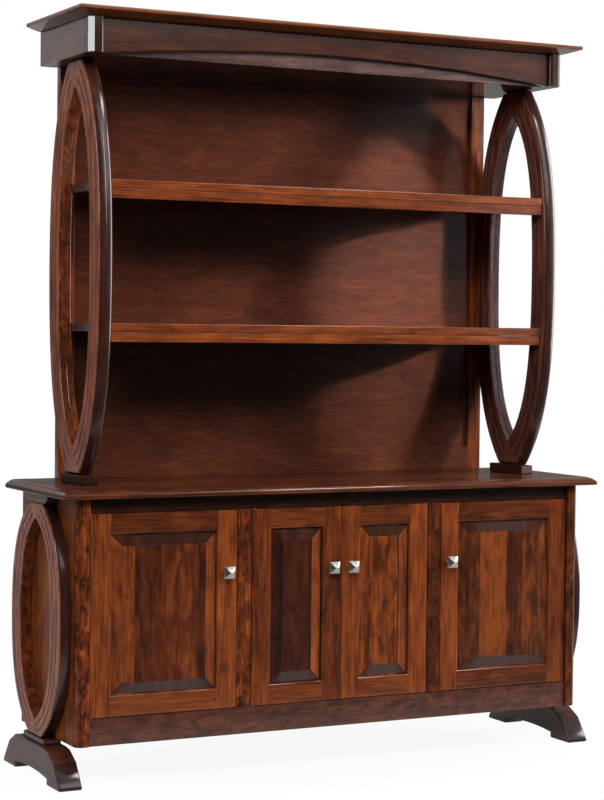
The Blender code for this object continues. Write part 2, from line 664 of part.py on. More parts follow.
def make_hutch(parts, cutters):
    """Plinths, hutch ovals, the framed back and the shelves."""
    for word, side in SIDES:
        inner = HUTCH_OVAL_INNER - PLINTH_INSET
        outer = HUTCH_OVAL_OUTER + PLINTH_OUTSET
        half = PLINTH_LENGTH / 2
        outline = (
            (side * inner, -half),
            (side * outer, PLINTH_SLANT - half),
            (side * outer, half - PLINTH_SLANT),
            (side * inner, half),
        )
        thickness = PLINTH_HEIGHT - GAP
        place = (0.0, OVAL_Y, BASE_HEIGHT + GAP + thickness / 2)
        plinth = plate("plinth_" + word, parts, (outline,), thickness, LYING, place)
        wood(plinth, DARK_EDGE)
        bevel(plinth, PLINTH_EDGE)
        ring = oval_ring(
            "hutch_oval_" + word, parts, HUTCH_OVAL_INNER, HUTCH_OVAL_OUTER, side,
            PLINTH_TOP + GAP, CORNICE_BOTTOM - GAP, HUTCH_OVAL_TIP,
        )
        post_xs = side_span(side, BACK_POST_OUTER - BACK_POST_WIDTH, BACK_POST_OUTER)
        post_zs = (BASE_HEIGHT + GAP, CORNICE_BOTTOM - GAP)
        post = box("back_post_" + word, parts, post_xs, (BACK_POST_FRONT_Y, HUTCH_BACK_Y), post_zs)
        wood(post)
        bevel(post, BACK_EDGE)
        xs = side_span(side, BACK_POST_OUTER - BACK_POST_WIDTH, BACK_POST_OUTER + GAP)
        ys = (BACK_POST_FRONT_Y - GAP, HUTCH_BACK_Y + OVERRUN)
        rabbet = box("hutch_oval_rabbet_" + word, cutters, xs, ys, (PLINTH_TOP, CORNICE_BOTTOM))
        hide_cutter(rabbet)
        combine(ring, rabbet, "DIFFERENCE")
    half_width = BACK_POST_OUTER - BACK_POST_WIDTH - GAP
    xs = (-half_width, half_width)
    rail_top = BASE_HEIGHT + GAP + BACK_RAIL_HEIGHT
    rail = box("back_rail", parts, xs, (BACK_POST_FRONT_Y, HUTCH_BACK_Y), (BASE_HEIGHT + GAP, rail_top))
    wood(rail)
    bevel(rail, BACK_EDGE)
    ys = (BACK_PANEL_Y, BACK_PANEL_Y + BACK_PANEL_THICKNESS)
    wood(box("back_panel", parts, xs, ys, (rail_top + GAP, CORNICE_BOTTOM - GAP)))
    for word, rise in zip(("lower", "upper"), SHELF_TOP_RISES):
        make_shelf(parts, cutters, "hutch_shelf_" + word, BASE_HEIGHT + rise)


def make_shelf(parts, cutters, name, height):
    """A shelf between the ovals, with an apron under its front edge."""
    half_width = HUTCH_OVAL_INNER - GAP
    front = NOSE_Y + SHELF_FRONT
    underside = height - SHELF_THICKNESS
    ys = (front, BACK_PANEL_Y - GAP)
    shelf = box(name, parts, (-half_width, half_width), ys, (underside, height))
    bevel(shelf, SHELF_EDGE)
    for word, side in SIDES:
        xs = side_span(side, BACK_POST_OUTER - BACK_POST_WIDTH - GAP, half_width + OVERRUN)
        ys = (BACK_POST_FRONT_Y - GAP, BACK_PANEL_Y + OVERRUN)
        notch = box(name + "_notch_" + word, cutters, xs, ys, (underside - OVERRUN, height + OVERRUN))
        hide_cutter(notch)
        combine(shelf, notch, "DIFFERENCE")
    half_width -= APRON_SHORTFALL
    ys = (front + APRON_DROP, front + APRON_DROP + APRON_THICKNESS)
    zs = (underside - APRON_HEIGHT, underside + SHELF_THICKNESS / 2)
    apron = box(name + "_apron", cutters, (-half_width, half_width), ys, zs)
    hide_cutter(apron)
    combine(shelf, apron, "UNION")
    wood(shelf)


def make_cornice(parts):
    """Corner posts, the arched frieze, side friezes, soffit and crown board."""
    corner_inner = CORNICE_HALF_WIDTH - CORNER_WIDTH
    side_inner = CORNICE_HALF_WIDTH - FRIEZE_THICKNESS
    upright = (CORNICE_BOTTOM, CORNICE_TOP - GAP)
    for word, side in SIDES:
        make_corner_post(
            "cornice_post_" + word, parts, side, corner_inner, CORNICE_HALF_WIDTH,
            CORNICE_FRONT_Y, CORNER_BACK_Y, CORNER_CHAMFER, CORNER_INNER_CHAMFER, upright,
        )
        xs = side_span(side, side_inner, CORNICE_HALF_WIDTH)
        ys = (CORNER_BACK_Y + GAP, HUTCH_BACK_Y)
        wood(box("side_frieze_" + word, parts, xs, ys, upright))
    half = corner_inner - GAP
    outline = [(half, CORNICE_HEIGHT - GAP), (-half, CORNICE_HEIGHT - GAP)]
    for index in range(FRIEZE_STEPS + 1):
        across = -half + 2 * half * index / FRIEZE_STEPS
        outline.append((across, ARCH_RISE * (1 - (across / half) ** 2)))
    place = (0.0, FRIEZE_Y + FRIEZE_THICKNESS / 2, CORNICE_BOTTOM)
    frieze = plate("arched_frieze", parts, (outline,), FRIEZE_THICKNESS, UPRIGHT_ALONG_X, place)
    wood(frieze)
    lip_front = FRIEZE_Y + FRIEZE_THICKNESS + GAP
    lip_back = lip_front + SOFFIT_LIP_THICKNESS
    outline = (
        (lip_front, 0.0),
        (HUTCH_BACK_Y, 0.0),
        (HUTCH_BACK_Y, SOFFIT_THICKNESS),
        (lip_back, SOFFIT_THICKNESS),
        (lip_back, SOFFIT_LIP),
        (lip_front, SOFFIT_LIP),
    )
    width = 2 * (side_inner - GAP)
    soffit = plate("cornice_soffit", parts, (outline,), width, UPRIGHT_ALONG_Y, (0.0, 0.0, CORNICE_BOTTOM))
    wood(soffit)
    levels = (
        (CORNICE_TOP, CROWN_OVERHANG),
        (CORNICE_TOP + CROWN_SLOPE, 0.0),
        (CORNICE_TOP + CROWN_SLOPE + CROWN_NOSE, 0.0),
    )
    half_width = CORNICE_HALF_WIDTH + CROWN_OVERHANG
    crown = board("cornice_crown", parts, half_width, CORNICE_FRONT_Y - CROWN_OVERHANG, HUTCH_BACK_Y, levels)
    wood(crown)


def main():
    """Build the whole piece."""
    clear_scene()
    parts = new_collection("credenza_with_hutch")
    cutters = new_collection("cutters")
    make_feet(parts)
    make_top(parts)
    make_carcass(parts, cutters)
    for number, side, across in pivot_places():
        make_door(parts, cutters, number, side, across)
    make_hutch(parts, cutters)
    make_cornice(parts)
    bpy.context.view_layer.update()


main()
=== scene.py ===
"""Dress the credenza with hutch: stained cherry boards, oval end rings, doors, shelves and cornice."""

from __future__ import annotations

import logging
import math
from dataclasses import dataclass
from enum import Enum
from typing import Any, Callable, Iterable, Sequence
import bmesh
import bpy
from mathutils import Matrix, Vector


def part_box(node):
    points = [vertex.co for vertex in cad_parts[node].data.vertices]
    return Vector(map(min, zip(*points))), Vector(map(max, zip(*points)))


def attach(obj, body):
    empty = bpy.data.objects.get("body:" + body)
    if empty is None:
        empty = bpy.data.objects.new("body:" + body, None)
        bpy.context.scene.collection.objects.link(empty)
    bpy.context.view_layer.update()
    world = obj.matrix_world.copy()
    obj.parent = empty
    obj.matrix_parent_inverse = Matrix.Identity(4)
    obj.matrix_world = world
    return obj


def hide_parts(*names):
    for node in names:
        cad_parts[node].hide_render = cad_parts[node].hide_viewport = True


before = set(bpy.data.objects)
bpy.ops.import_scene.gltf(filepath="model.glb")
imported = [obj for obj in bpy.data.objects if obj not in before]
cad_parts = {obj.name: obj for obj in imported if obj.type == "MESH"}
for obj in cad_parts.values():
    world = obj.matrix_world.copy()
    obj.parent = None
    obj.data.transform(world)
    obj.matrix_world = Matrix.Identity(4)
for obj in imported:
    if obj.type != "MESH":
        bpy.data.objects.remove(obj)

Form = bmesh.types.BMesh
Edge = bmesh.types.BMEdge
Face = bmesh.types.BMFace
Vert = bmesh.types.BMVert
Tree = bpy.types.NodeTree
Pair = tuple[float, float]
Triple = tuple[float, float, float]

LOG = logging.getLogger("credenza")
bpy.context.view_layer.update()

SIDES = (("left", -1), ("right", 1))
GAP = 0.0003                      # between pieces that bear on each other
SAME = 0.00001                    # points closer than this are one
NEAR = 0.0001                     # a spot this close to a face counts as on it
EASED = 0.0012                    # the usual rounding of a board's edges
SHARP = math.radians(35.0)        # edges sharper than this stay crisp when shaded
BOARD_LAYER = "board"             # face attribute: which board of the real piece a face is on
WHITE = (1.0, 1.0, 1.0, 1.0)


class Way(Enum):
    """A way through the piece, which a board's grain runs or an outline is drawn out along."""

    ACROSS = 0
    DEEP = 1
    UPRIGHT = 2


def srgb(code: str) -> tuple[float, float, float, float]:
    """Turn an sRGB hex code to linear values.

    Args:
        code: Six hex digits after a hash.

    Returns:
        Linear red, green, blue and an alpha of one.
    """
    parts = []
    for start in (1, 3, 5):
        value = int(code[start:start + 2], 16) / 255
        parts.append(value / 12.92 if value <= 0.04045 else ((value + 0.055) / 1.055) ** 2.4)
    return (*parts, 1.0)


def per_mm(feature: float) -> float:
    """The texture scale, in cycles per metre, of a feature of so many millimetres."""
    return 1000.0 / feature


def feed(tree: Tree, target: bpy.types.Node, inputs: dict[Any, Any]) -> None:
    """Fill a node's inputs, with a value on the socket itself or a link from an output.

    Args:
        tree: The node tree.
        target: The node.
        inputs: Values or output sockets for its inputs, by name or number.
    """
    for key, value in inputs.items():
        if isinstance(value, bpy.types.NodeSocket):
            tree.links.new(value, target.inputs[key])
        else:
            target.inputs[key].default_value = value


def node(tree: Tree, kind: str, inputs: dict[Any, Any] | None = None, **settings: Any) -> bpy.types.Node:
    """Add a shader node with its settings, values and links.

    Args:
        tree: The node tree.
        kind: The node's type without the ShaderNode prefix.
        inputs: Values or output sockets for its inputs, by name or number.
        settings: Attributes to set on the node.

    Returns:
        The new node.
    """
    made = tree.nodes.new("ShaderNode" + kind)
    for name, value in settings.items():
        setattr(made, name, value)
    feed(tree, made, inputs or {})
    return made


@dataclass(frozen=True)
class Finish:
    """A finish, which is made into a material once and then shared."""

    name: str

    def build(self) -> bpy.types.Material:
        """Make the material.

        Returns:
            The material, or the one made before under this name.
        """
        if self.name in bpy.data.materials:
            return bpy.data.materials[self.name]
        skin = bpy.data.materials.new(self.name)
        skin.use_nodes = True
        self.paint(skin.node_tree, skin.node_tree.nodes["Principled BSDF"])
        return skin

    def paint(self, tree: Tree, shader: bpy.types.Node) -> None:
        """Lay the finish's nodes out before the shader."""
        raise NotImplementedError


@dataclass(frozen=True)
class StainedCherry(Finish):
    """Solid cherry under a wiped dark stain and a rubbed gloss lacquer.

    The stain sinks unevenly, so boards are mottled and each takes its own tone. The clear
    lacquer over it gives sharp, bright reflections on a dark, warm ground.
    """

    grain: Way
    tones: tuple[str, ...] = ("#8b451b", "#642d12", "#2c1008")  # light, middle and dark
    gum: str = "#1f0c07"
    reach: float = 0.15           # how far from the mean the pattern turns all light or all dark
    shares: Triple = (0.30, 0.34, 0.36)  # of figure, mottle and fibre
    roughness: float = 0.5
    under_gloss: float = 0.06     # the stained wood itself is matt, and the lacquer gives the gloss
    coat: float = 1.0
    coat_roughness: float = 0.09
    ior: float = 1.5
    figure_mm: float = 22.0
    figure_stretch: float = 12.0
    mottle_mm: float = 44.0
    mottle_stretch: float = 2.6
    fibre_mm: float = 2.8         # the real fibres are finer than the render can show
    fibre_stretch: float = 36.0
    fibre_relief: float = 0.0004
    relief_strength: float = 0.06
    gum_mm: float = 10.0
    gum_stretch: float = 3.0
    gum_from: float = 0.68        # how strong the noise is where gum spots start
    gum_blur: float = 0.07
    gum_strength: float = 0.75
    tone_spread: float = 0.12
    stave_mm: float = 0.0         # width of the boards glued up front to back, if there are any
    board_shift: Triple = (7.0, 5.0, 9.0)  # how far apart boards are in the pattern

    def paint(self, tree: Tree, shader: bpy.types.Node) -> None:
        """Mix figure, mottle and fibre to a tone, shifted for each board, and add gum spots."""
        place = node(tree, "TexCoord").outputs["Object"]
        board = node(tree, "Attribute", attribute_name=BOARD_LAYER).outputs["Fac"]
        if self.stave_mm:
            back = node(tree, "SeparateXYZ", {0: place}).outputs["Y"]
            count = node(tree, "Math", {0: back, 1: per_mm(self.stave_mm)}, operation="MULTIPLY").outputs[0]
            whole = node(tree, "Math", {0: count}, operation="FLOOR").outputs[0]
            board = node(tree, "Math", {0: board, 1: whole}).outputs[0]
        lot = node(tree, "TexWhiteNoise", {"W": board}, noise_dimensions="1D")
        shift = node(tree, "VectorMath", {0: lot.outputs["Color"], 1: self.board_shift}, operation="MULTIPLY")
        moved = node(tree, "VectorMath", {0: place, 1: shift.outputs[0]}).outputs[0]
        figure, mottle, fibre, specks = (
            node(tree, "TexNoise", {
                "Vector": node(tree, "Mapping", {
                    "Vector": moved, "Scale": [1.0 / stretch if way is self.grain else 1.0 for way in Way],
                }).outputs["Vector"],
                "Scale": per_mm(size), "Detail": detail, "Roughness": 0.55, "Distortion": distortion,
            }).outputs["Fac"]
            for size, stretch, detail, distortion in (
                (self.figure_mm, self.figure_stretch, 3.0, 0.8),
                (self.mottle_mm, self.mottle_stretch, 4.0, 0.7),
                (self.fibre_mm, self.fibre_stretch, 2.0, 0.0),
                (self.gum_mm, self.gum_stretch, 2.0, 0.5),
            )
        )
        patterns = node(tree, "CombineXYZ", {0: figure, 1: mottle, 2: fibre}).outputs[0]
        mixed = node(tree, "VectorMath", {
            0: patterns, 1: self.shares,
        }, operation="DOT_PRODUCT").outputs["Value"]
        tone = node(tree, "MapRange", {
            "Value": lot.outputs["Value"], "To Min": -self.tone_spread / 2, "To Max": self.tone_spread / 2,
        }).outputs[0]
        ramp = node(tree, "ValToRGB", {"Fac": node(tree, "Math", {0: mixed, 1: tone}).outputs[0]})
        ramp.color_ramp.elements.new(0.5)
        spots = (-self.reach, 0.0, self.reach)
        for stop, spot, code in zip(ramp.color_ramp.elements, spots, reversed(self.tones)):
            stop.position = 0.5 + spot
            stop.color = srgb(code)
        gum = node(tree, "MapRange", {
            "Value": specks, "From Min": self.gum_from, "From Max": self.gum_from + self.gum_blur,
            "To Max": self.gum_strength,
        }, clamp=True).outputs[0]
        stained = node(tree, "Mix", {
            "Factor": gum, 6: ramp.outputs["Color"], 7: srgb(self.gum),
        }, data_type="RGBA").outputs[2]
        bump = node(tree, "Bump", {
            "Height": fibre, "Strength": self.relief_strength, "Distance": self.fibre_relief,
        }).outputs[0]
        feed(tree, shader, {
            "Base Color": stained, "Roughness": self.roughness, "IOR": self.ior, "Normal": bump,
            "Specular IOR Level": self.under_gloss, "Coat Weight": self.coat,
            "Coat Roughness": self.coat_roughness, "Coat IOR": self.ior,
        })


@dataclass(frozen=True)
class BrushedNickel(Finish):
    """Cast metal, nickel plated and brushed: pale warm grey with soft, slightly streaked lights."""

    name: str = "cast_metal_brushed_nickel_plate"
    colour: str = "#b9b3aa"
    roughness: float = 0.30
    roughness_spread: float = 0.07
    stroke_mm: float = 0.9
    stroke_scale: Triple = (0.05, 1.0, 1.0)

    def paint(self, tree: Tree, shader: bpy.types.Node) -> None:
        """Draw the roughness out in fine strokes."""
        place = node(tree, "TexCoord").outputs["Object"]
        drawn = node(tree, "Mapping", {"Vector": place, "Scale": self.stroke_scale}).outputs[0]
        strokes = node(tree, "TexNoise", {"Vector": drawn, "Scale": per_mm(self.stroke_mm)}).outputs["Fac"]
        dull = node(tree, "MapRange", {
            "Value": strokes, "To Min": self.roughness - self.roughness_spread,
            "To Max": self.roughness + self.roughness_spread,
        }).outputs[0]
        feed(tree, shader, {"Base Color": srgb(self.colour), "Metallic": 1.0, "Roughness": dull})


@dataclass(frozen=True)
class GroundSteel(Finish):
    """Plain steel rod, turned and ground: mid grey with a soft shine."""

    name: str = "steel_rod_turned_and_ground"
    colours: tuple[str, str] = ("#8d8f91", "#7b7d80")
    roughness: float = 0.35
    cloud_mm: float = 6.0

    def paint(self, tree: Tree, shader: bpy.types.Node) -> None:
        """Cloud the steel with a second grey."""
        place = node(tree, "TexCoord").outputs["Object"]
        cloud = node(tree, "TexNoise", {"Vector": place, "Scale": per_mm(self.cloud_mm)}).outputs["Fac"]
        pale, deep = map(srgb, self.colours)
        tint = node(tree, "Mix", {"Factor": cloud, 6: pale, 7: deep}, data_type="RGBA").outputs[2]
        feed(tree, shader, {"Base Color": tint, "Metallic": 1.0, "Roughness": self.roughness})


def cherry(grain: Way, kind: str = "", *tones: str, **changes: Any) -> StainedCherry:
    """The lacquered cherry with its grain one way.

    Args:
        grain: The way the grain runs.
        kind: A word for a variant.
        tones: Its light, middle and dark tone, where they aren't the usual ones.
        changes: Other fields that differ from the usual finish.

    Returns:
        The finish.
    """
    name = "_".join(filter(None, ("cherry_stained_and_lacquered", kind, grain.name.lower())))
    if tones:
        changes["tones"] = tones
    return StainedCherry(name, grain, **changes)


# Most kinds drank the stain their own way and were rubbed to their own gloss; some tones are painted light or
# shade.
UPRIGHT_WOOD = cherry(Way.UPRIGHT)
LEVEL_WOOD = cherry(Way.ACROSS)
# Painted light: door 1's stiles are lighter, standing for the stronger light at the piece's left end.
DOOR_ONE_PAINTED_LIGHT_STILE_WOOD = cherry(Way.UPRIGHT, "bright_stile", "#a25322", "#773a17", "#36160b")
# Gum-flecked posts in copies that are painted light: bright on the left, medium and deep to the right, where
# less light falls.
GUM_FLECKED_POST_WOODS_PAINTED_LIGHT = {
    depth: cherry(
        Way.UPRIGHT, "gum_flecked_" + depth, *tones, reach=0.13, shares=(0.22, 0.48, 0.30), mottle_mm=24.0,
        mottle_stretch=1.7, gum_mm=13.0, gum_from=0.58, coat=0.2,
    )
    for depth, *tones in (
        ("bright", "#b05726", "#753618", "#30130b"), ("medium", "#8e451d", "#5d2a12", "#29100a"),
        ("deep", "#763a19", "#4d240f", "#251009"),
    )
}
RAIL_WOOD = cherry(
    Way.ACROSS, "dark_rail", "#66331a", "#452012", "#240f0a", reach=0.14, shares=(0.25, 0.45, 0.30),
    mottle_mm=26.0, mottle_stretch=2.0, gum_from=0.60,
)
# Painted shade: the top rail's darkest tones stand for the shadow of the top's overhang on the dark rail
# wood.
TOP_RAIL_PAINTED_SHADE_WOOD = cherry(Way.ACROSS, "darkest_rail", "#3a1c10", "#25110a", "#170a06")
FRIEZE_WOOD = cherry(Way.ACROSS, "dark_frieze", "#4e2616", "#34180e", "#200e09", coat_roughness=0.14)
# Painted reflection: the soffit's pale grey-lilac tones stand for a sheen on it, not the wood's colour.
SOFFIT_PAINTED_SHEEN_WOOD = cherry(Way.ACROSS, "soffit", "#70544e", "#5a4440", "#3e2c2a")
DOOR_RAIL_WOOD = cherry(Way.ACROSS, "door_rail", "#80401b", "#582811", "#290f08")
# The side friezes' paler, greyer tones are partly painted sheen, a reflection on their outer faces, over dark
# frieze wood.
SIDE_FRIEZE_PAINTED_SHEEN_WOOD = cherry(Way.DEEP, "dark_frieze", "#86473a", "#5c3029", "#351a16", mottle_stretch=1.4)
CORNICE_POST_WOOD = cherry(Way.UPRIGHT, "dark_frieze", "#3c1b11", "#29120c", "#190a07")
CROWN_WOOD = cherry(Way.ACROSS, "crown", "#78401c", "#572c13", "#32160b")
SIDE_WOOD = cherry(
    Way.UPRIGHT, "wide_board", "#aa5c24", "#80401b", "#2c1008", stave_mm=118.0, coat=0.3, coat_roughness=0.25,
)
PANEL_WOODS = tuple(
    cherry(
        Way.UPRIGHT, "panel_%d" % number, *tones, shares=(0.26, 0.48, 0.26), mottle_mm=30.0, tone_spread=0.24,
    )
    for number, *tones in (
        (1, "#84421a", "#582610", "#2e1109"), (2, "#4a220e", "#33140a", "#200c07"),
        (3, "#8c4419", "#4e210d", "#240c07"), (4, "#793b17", "#431d0c", "#200c07"),
    )
)
END_WOOD = cherry(
    Way.UPRIGHT, "end_grain", "#4c2414", "#33170e", "#200d09", fibre_stretch=1.5, tone_spread=0.03,
    coat_roughness=0.16,
)
# Painted light: lighter tones for the panels' right-hand bevels, standing for light from the right.
RIGHT_BEVEL_PAINTED_LIGHT_WOOD = cherry(Way.UPRIGHT, "light_edge", "#a85a27", "#823f1a", "#52260f")
# Painted reflection: greyer tones stand for a sheen on the shelves' sawn ends.
SHELF_END_PAINTED_SHEEN_WOOD = cherry(Way.UPRIGHT, "shelf_end", "#54443f", "#433733", "#2c2422")
TOP_WOOD = cherry(
    Way.ACROSS, "glued_up", "#5d2d15", "#401c0e", "#281009", stave_mm=112.0, tone_spread=0.14, coat=0.62,
    coat_roughness=0.04,
)
BACK_VENEER = cherry(
    Way.ACROSS, "veneer", "#60301b", "#482315", "#331811", figure_mm=30.0, figure_stretch=4.0, fibre_mm=3.4,
    fibre_stretch=12.0, tone_spread=0.0, shares=(0.34, 0.24, 0.42), reach=0.18, coat=0.5, coat_roughness=0.14,
)
GROOVE_WOOD = cherry(
    Way.UPRIGHT, "glaze_in_grooves", "#2a120b", "#1e0d08", "#140805", coat=0.0, under_gloss=0.0,
)
# Lit and shaded copies of the ring wood: the right rings' darker tones are painted shade.
RING_WOODS_LIT_AND_SHADED = {
    word: cherry(Way.UPRIGHT, "ring_" + word, *tones, tone_spread=0.06, coat=0.45)
    for word, *tones in (
        ("left", "#b86b48", "#8e4f36", "#4c261a"), ("right", "#8a5040", "#5d352b", "#301a15"),
    )
}
RIM_WOOD = cherry(
    Way.UPRIGHT, "ring_rim", "#44221a", "#301712", "#1e0e0b", tone_spread=0.06, coat_roughness=0.16,
    shares=(0.40, 0.44, 0.16),
)
# The left hole wall is burl-figured wood; the right one's greyer, darker tones are painted reflection and
# shade.
HOLE_WOODS_LIT_AND_SHADED = {
    word: cherry(
        Way.UPRIGHT, "ring_hole_" + word, *tones, shares=(0.2, 0.5, 0.3), mottle_mm=20.0, mottle_stretch=1.3,
        gum_mm=11.0, gum_from=0.58, coat=0.7,
    )
    for word, *tones in (
        ("left", "#8a451f", "#5c2b13", "#2b120a"), ("right", "#54302a", "#38211e", "#1d1312"),
    )
}
FOOT_WOOD = cherry(Way.DEEP, "foot", "#5e3122", "#442318", "#29140e", coat=0.6)
PLINTH_WOOD = cherry(Way.DEEP, "plinth", "#43241b", "#311a13", "#1f100c", coat=0.0, under_gloss=0.15)
# Painted shade: darker tones for the feet's toes, where little light falls from above.
TOE_PAINTED_SHADE_WOOD = cherry(Way.UPRIGHT, "foot_end_grain", "#35201a", "#261612", "#190e0b")
INSIDE_WOOD, INSIDE_LEVEL = (
    cherry(
        way, "satin_inside", "#9a5a30", "#7c4022", "#552a17", coat=0.3, under_gloss=0.4, coat_roughness=0.3,
    )
    for way in (Way.UPRIGHT, Way.ACROSS)
)
NICKEL = BrushedNickel()
STEEL = GroundSteel()


class Maker:
    """Turns bmeshes to finished objects and counts boards."""

    boards = 0
    board_step = 0.731            # keeps the boards' numbers apart

    @classmethod
    def next_board(cls) -> float:
        """A number for the next board, from which its tone and figure are drawn."""
        cls.boards += 1
        return cls.boards * cls.board_step

    @staticmethod
    def cube(low: Sequence[float], high: Sequence[float]) -> Form:
        """A block between two corners.

        Args:
            low: The lowest corner.
            high: The highest corner.

        Returns:
            A bmesh of the block.
        """
        form = bmesh.new()
        size = [b - a for a, b in zip(low, high)]
        middle = Vector((a + b) / 2 for a, b in zip(low, high))
        place = Matrix.Translation(middle) @ Matrix.Diagonal((*size, 1.0))
        bmesh.ops.create_cube(form, size=1.0, matrix=place)
        return form

    @staticmethod
    def prism(low: Vector, high: Vector, way: Way, outline: Iterable[Sequence[float]]) -> Form:
        """A flat outline drawn out from one side of a box to the other.

        Args:
            low: The box's lowest corner.
            high: Its highest corner.
            way: The way the outline is drawn out.
            outline: Its corners, each by the two other ways in order.

        Returns:
            A closed bmesh.
        """
        form = bmesh.new()
        corners = []
        for corner in outline:
            spot = list(corner)
            spot.insert(way.value, low[way.value])
            corners.append(form.verts.new(spot))
        cap = form.faces.new(corners)
        grown = bmesh.ops.extrude_face_region(form, geom=[cap], use_keep_orig=True)["geom"]
        reach = Vector()
        reach[way.value] = high[way.value] - low[way.value]
        bmesh.ops.translate(form, verts=[piece for piece in grown if isinstance(piece, Vert)], vec=reach)
        bmesh.ops.recalc_face_normals(form, faces=form.faces)
        return form

    @classmethod
    def terraced(cls, low: Vector, high: Vector, way: Way, draws: Sequence[Sequence[int]],
                 levels: Sequence[Pair]) -> Form:
        """A block whose outline is drawn in by another amount at each level.

        Args:
            low: The lowest corner of its box.
            high: The highest corner.
            way: The way the levels follow each other.
            draws: Which of the low sides and which of the high sides are drawn in.
            levels: Each level's place along that way, and how far it is drawn in.

        Returns:
            A closed bmesh.
        """
        def fit(face: Face, place: float, inset: float) -> None:
            """Move a face's corners to the outline of one level."""
            middle = face.calc_center_median()
            for corner in face.verts:
                spot = [
                    top - inset * from_top if here > between else bottom + inset * from_bottom
                    for bottom, top, from_bottom, from_top, here, between
                    in zip(low, high, *draws, corner.co, middle)
                ]
                spot[way.value] = place
                corner.co = spot

        form = cls.cube(low, high)
        first, second, *others = levels
        faces = sorted(form.faces, key=lambda face: abs(face.calc_center_median()[way.value] - first[0]))
        lid = faces[-1]
        fit(faces[0], *first)
        fit(lid, *second)
        for level in others:
            grown = bmesh.ops.extrude_face_region(form, geom=[lid, *lid.edges])["geom"]
            lid = next(piece for piece in grown if isinstance(piece, Face))
            fit(lid, *level)
        return form

    @staticmethod
    def cut(form: Form, way: Way, places: Iterable[float]) -> None:
        """Cut a form's faces along planes.

        Args:
            form: The bmesh.
            way: The way that the planes stand square to.
            places: Where they stand along it.
        """
        facing = Vector(float(other is way) for other in Way)
        for place in places:
            bmesh.ops.bisect_plane(form, geom=form.verts[:] + form.edges[:] + form.faces[:], dist=SAME,
                                   plane_co=facing * place, plane_no=facing)

    @staticmethod
    def soften(form: Form, width: float, segments: int = 3,
               keep: Callable[[Edge], bool] | None = None) -> None:
        """Round a form's sharp edges.

        Args:
            form: The bmesh.
            width: The width of the rounding.
            segments: Its number of segments.
            keep: Picks the edges to round, or all sharp ones.
        """
        form.normal_update()
        sharp = [
            edge for edge in form.edges
            if len(edge.link_faces) == 2 and edge.calc_face_angle() > SHARP and (keep is None or keep(edge))
        ]
        bmesh.ops.bevel(
            form, geom=sharp, offset=width, offset_type="OFFSET", affect="EDGES", segments=segments,
            profile=0.5, material=-1, clamp_overlap=True,
        )

    @staticmethod
    def mark(form: Form, number: int, chosen: Callable[[Face], bool]) -> None:
        """Give some faces another of the piece's finishes.

        Args:
            form: The bmesh.
            number: The finish's place in the piece's list.
            chosen: Picks the faces.
        """
        form.normal_update()
        for face in form.faces:
            if chosen(face):
                face.material_index = number

    @classmethod
    def piece(cls, form: Form, name: str, finishes: Sequence[Finish], stands_for: Sequence[str],
              body: str = "carcass", slot: str = "stained_wood") -> None:
        """Finish a bmesh as a piece of the object.

        Args:
            form: The bmesh, which is freed.
            name: The piece's name.
            finishes: Its finishes, in the order of the faces' material numbers.
            stands_for: The CAD nodes it stands for.
            body: The CAD body it rides on.
            slot: Not used.
        """
        layer = form.faces.layers.float.get(BOARD_LAYER) or form.faces.layers.float.new(BOARD_LAYER)
        seed = cls.next_board()
        for face in form.faces:
            if face[layer] == 0.0:
                face[layer] = seed
        bmesh.ops.recalc_face_normals(form, faces=form.faces)
        mesh = bpy.data.meshes.new(name)
        form.to_mesh(mesh)
        form.free()
        for finish in finishes:
            mesh.materials.append(finish.build())
        mesh.shade_smooth()
        mesh.set_sharp_from_angle(angle=SHARP)
        thing = bpy.data.objects.new(name, mesh)
        bpy.context.scene.collection.objects.link(thing)
        even = thing.modifiers.new("flat_faces_stay_flat", "WEIGHTED_NORMAL")
        even.mode = "FACE_AREA"
        even.weight = 50
        even.keep_sharp = True
        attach(thing, body)
        if stands_for:
            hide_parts(*stands_for)
        LOG.info("%s: %d faces on %s", name, len(mesh.polygons), body)

    @classmethod
    def board(cls, name: str, finish: Finish, slot: str = "stained_wood", edge: float = EASED) -> None:
        """A plain board of the carcass in place of a box-shaped CAD node, its edges eased."""
        form = cls.cube(*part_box(name))
        cls.soften(form, edge, 2)
        cls.piece(form, name + "_board", [finish], [name], slot=slot)

    @classmethod
    def shaped(cls, name: str, way: Way, outline: Iterable[Sequence[float]], finish: Finish,
               edge: float = EASED, segments: int = 2, dark: bool = False) -> None:
        """A board of the carcass cut to an outline, in place of a CAD node.

        Args:
            name: The CAD node's name.
            way: The way the outline is drawn out.
            outline: Its corners, each by the two other ways in order.
            finish: The board's finish.
            edge: The width of its rounded edges.
            segments: Their number of segments.
            dark: Whether it is one of the dark edge pieces.
        """
        form = cls.prism(*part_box(name), way, outline)
        cls.soften(form, edge, segments)
        kind, slot = ("_shaped", "dark_edge_wood") if dark else ("_board", "stained_wood")
        cls.piece(form, name + kind, [finish], [name], slot=slot)

    @classmethod
    def post(cls, name: str, side: int, cut: float, inner_cut: float, finish: Finish) -> None:
        """A post of the carcass with its outer front corner cut off, and maybe the inner one.

        Args:
            name: The CAD node's name.
            side: Minus one on the left and one on the right.
            cut: How much is cut off the outer corner.
            inner_cut: How much is cut off the inner corner, or 0.
            finish: The post's finish.
        """
        low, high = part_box(name)
        outer, inner = outer_and_inner(low, high, side)
        outline = [(inner, high.y), (inner, low.y + inner_cut)]
        if inner_cut:
            outline.append((inner + side * inner_cut, low.y))
        outline += [(outer - side * cut, low.y), (outer, low.y + cut), (outer, high.y)]
        cls.shaped(name, Way.UPRIGHT, outline, finish)

    @staticmethod
    def paint_node(name: str, finish: Finish) -> None:
        """Give its finish to a CAD node that stays as it is."""
        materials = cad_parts[name].data.materials
        materials.clear()
        materials.append(finish.build())


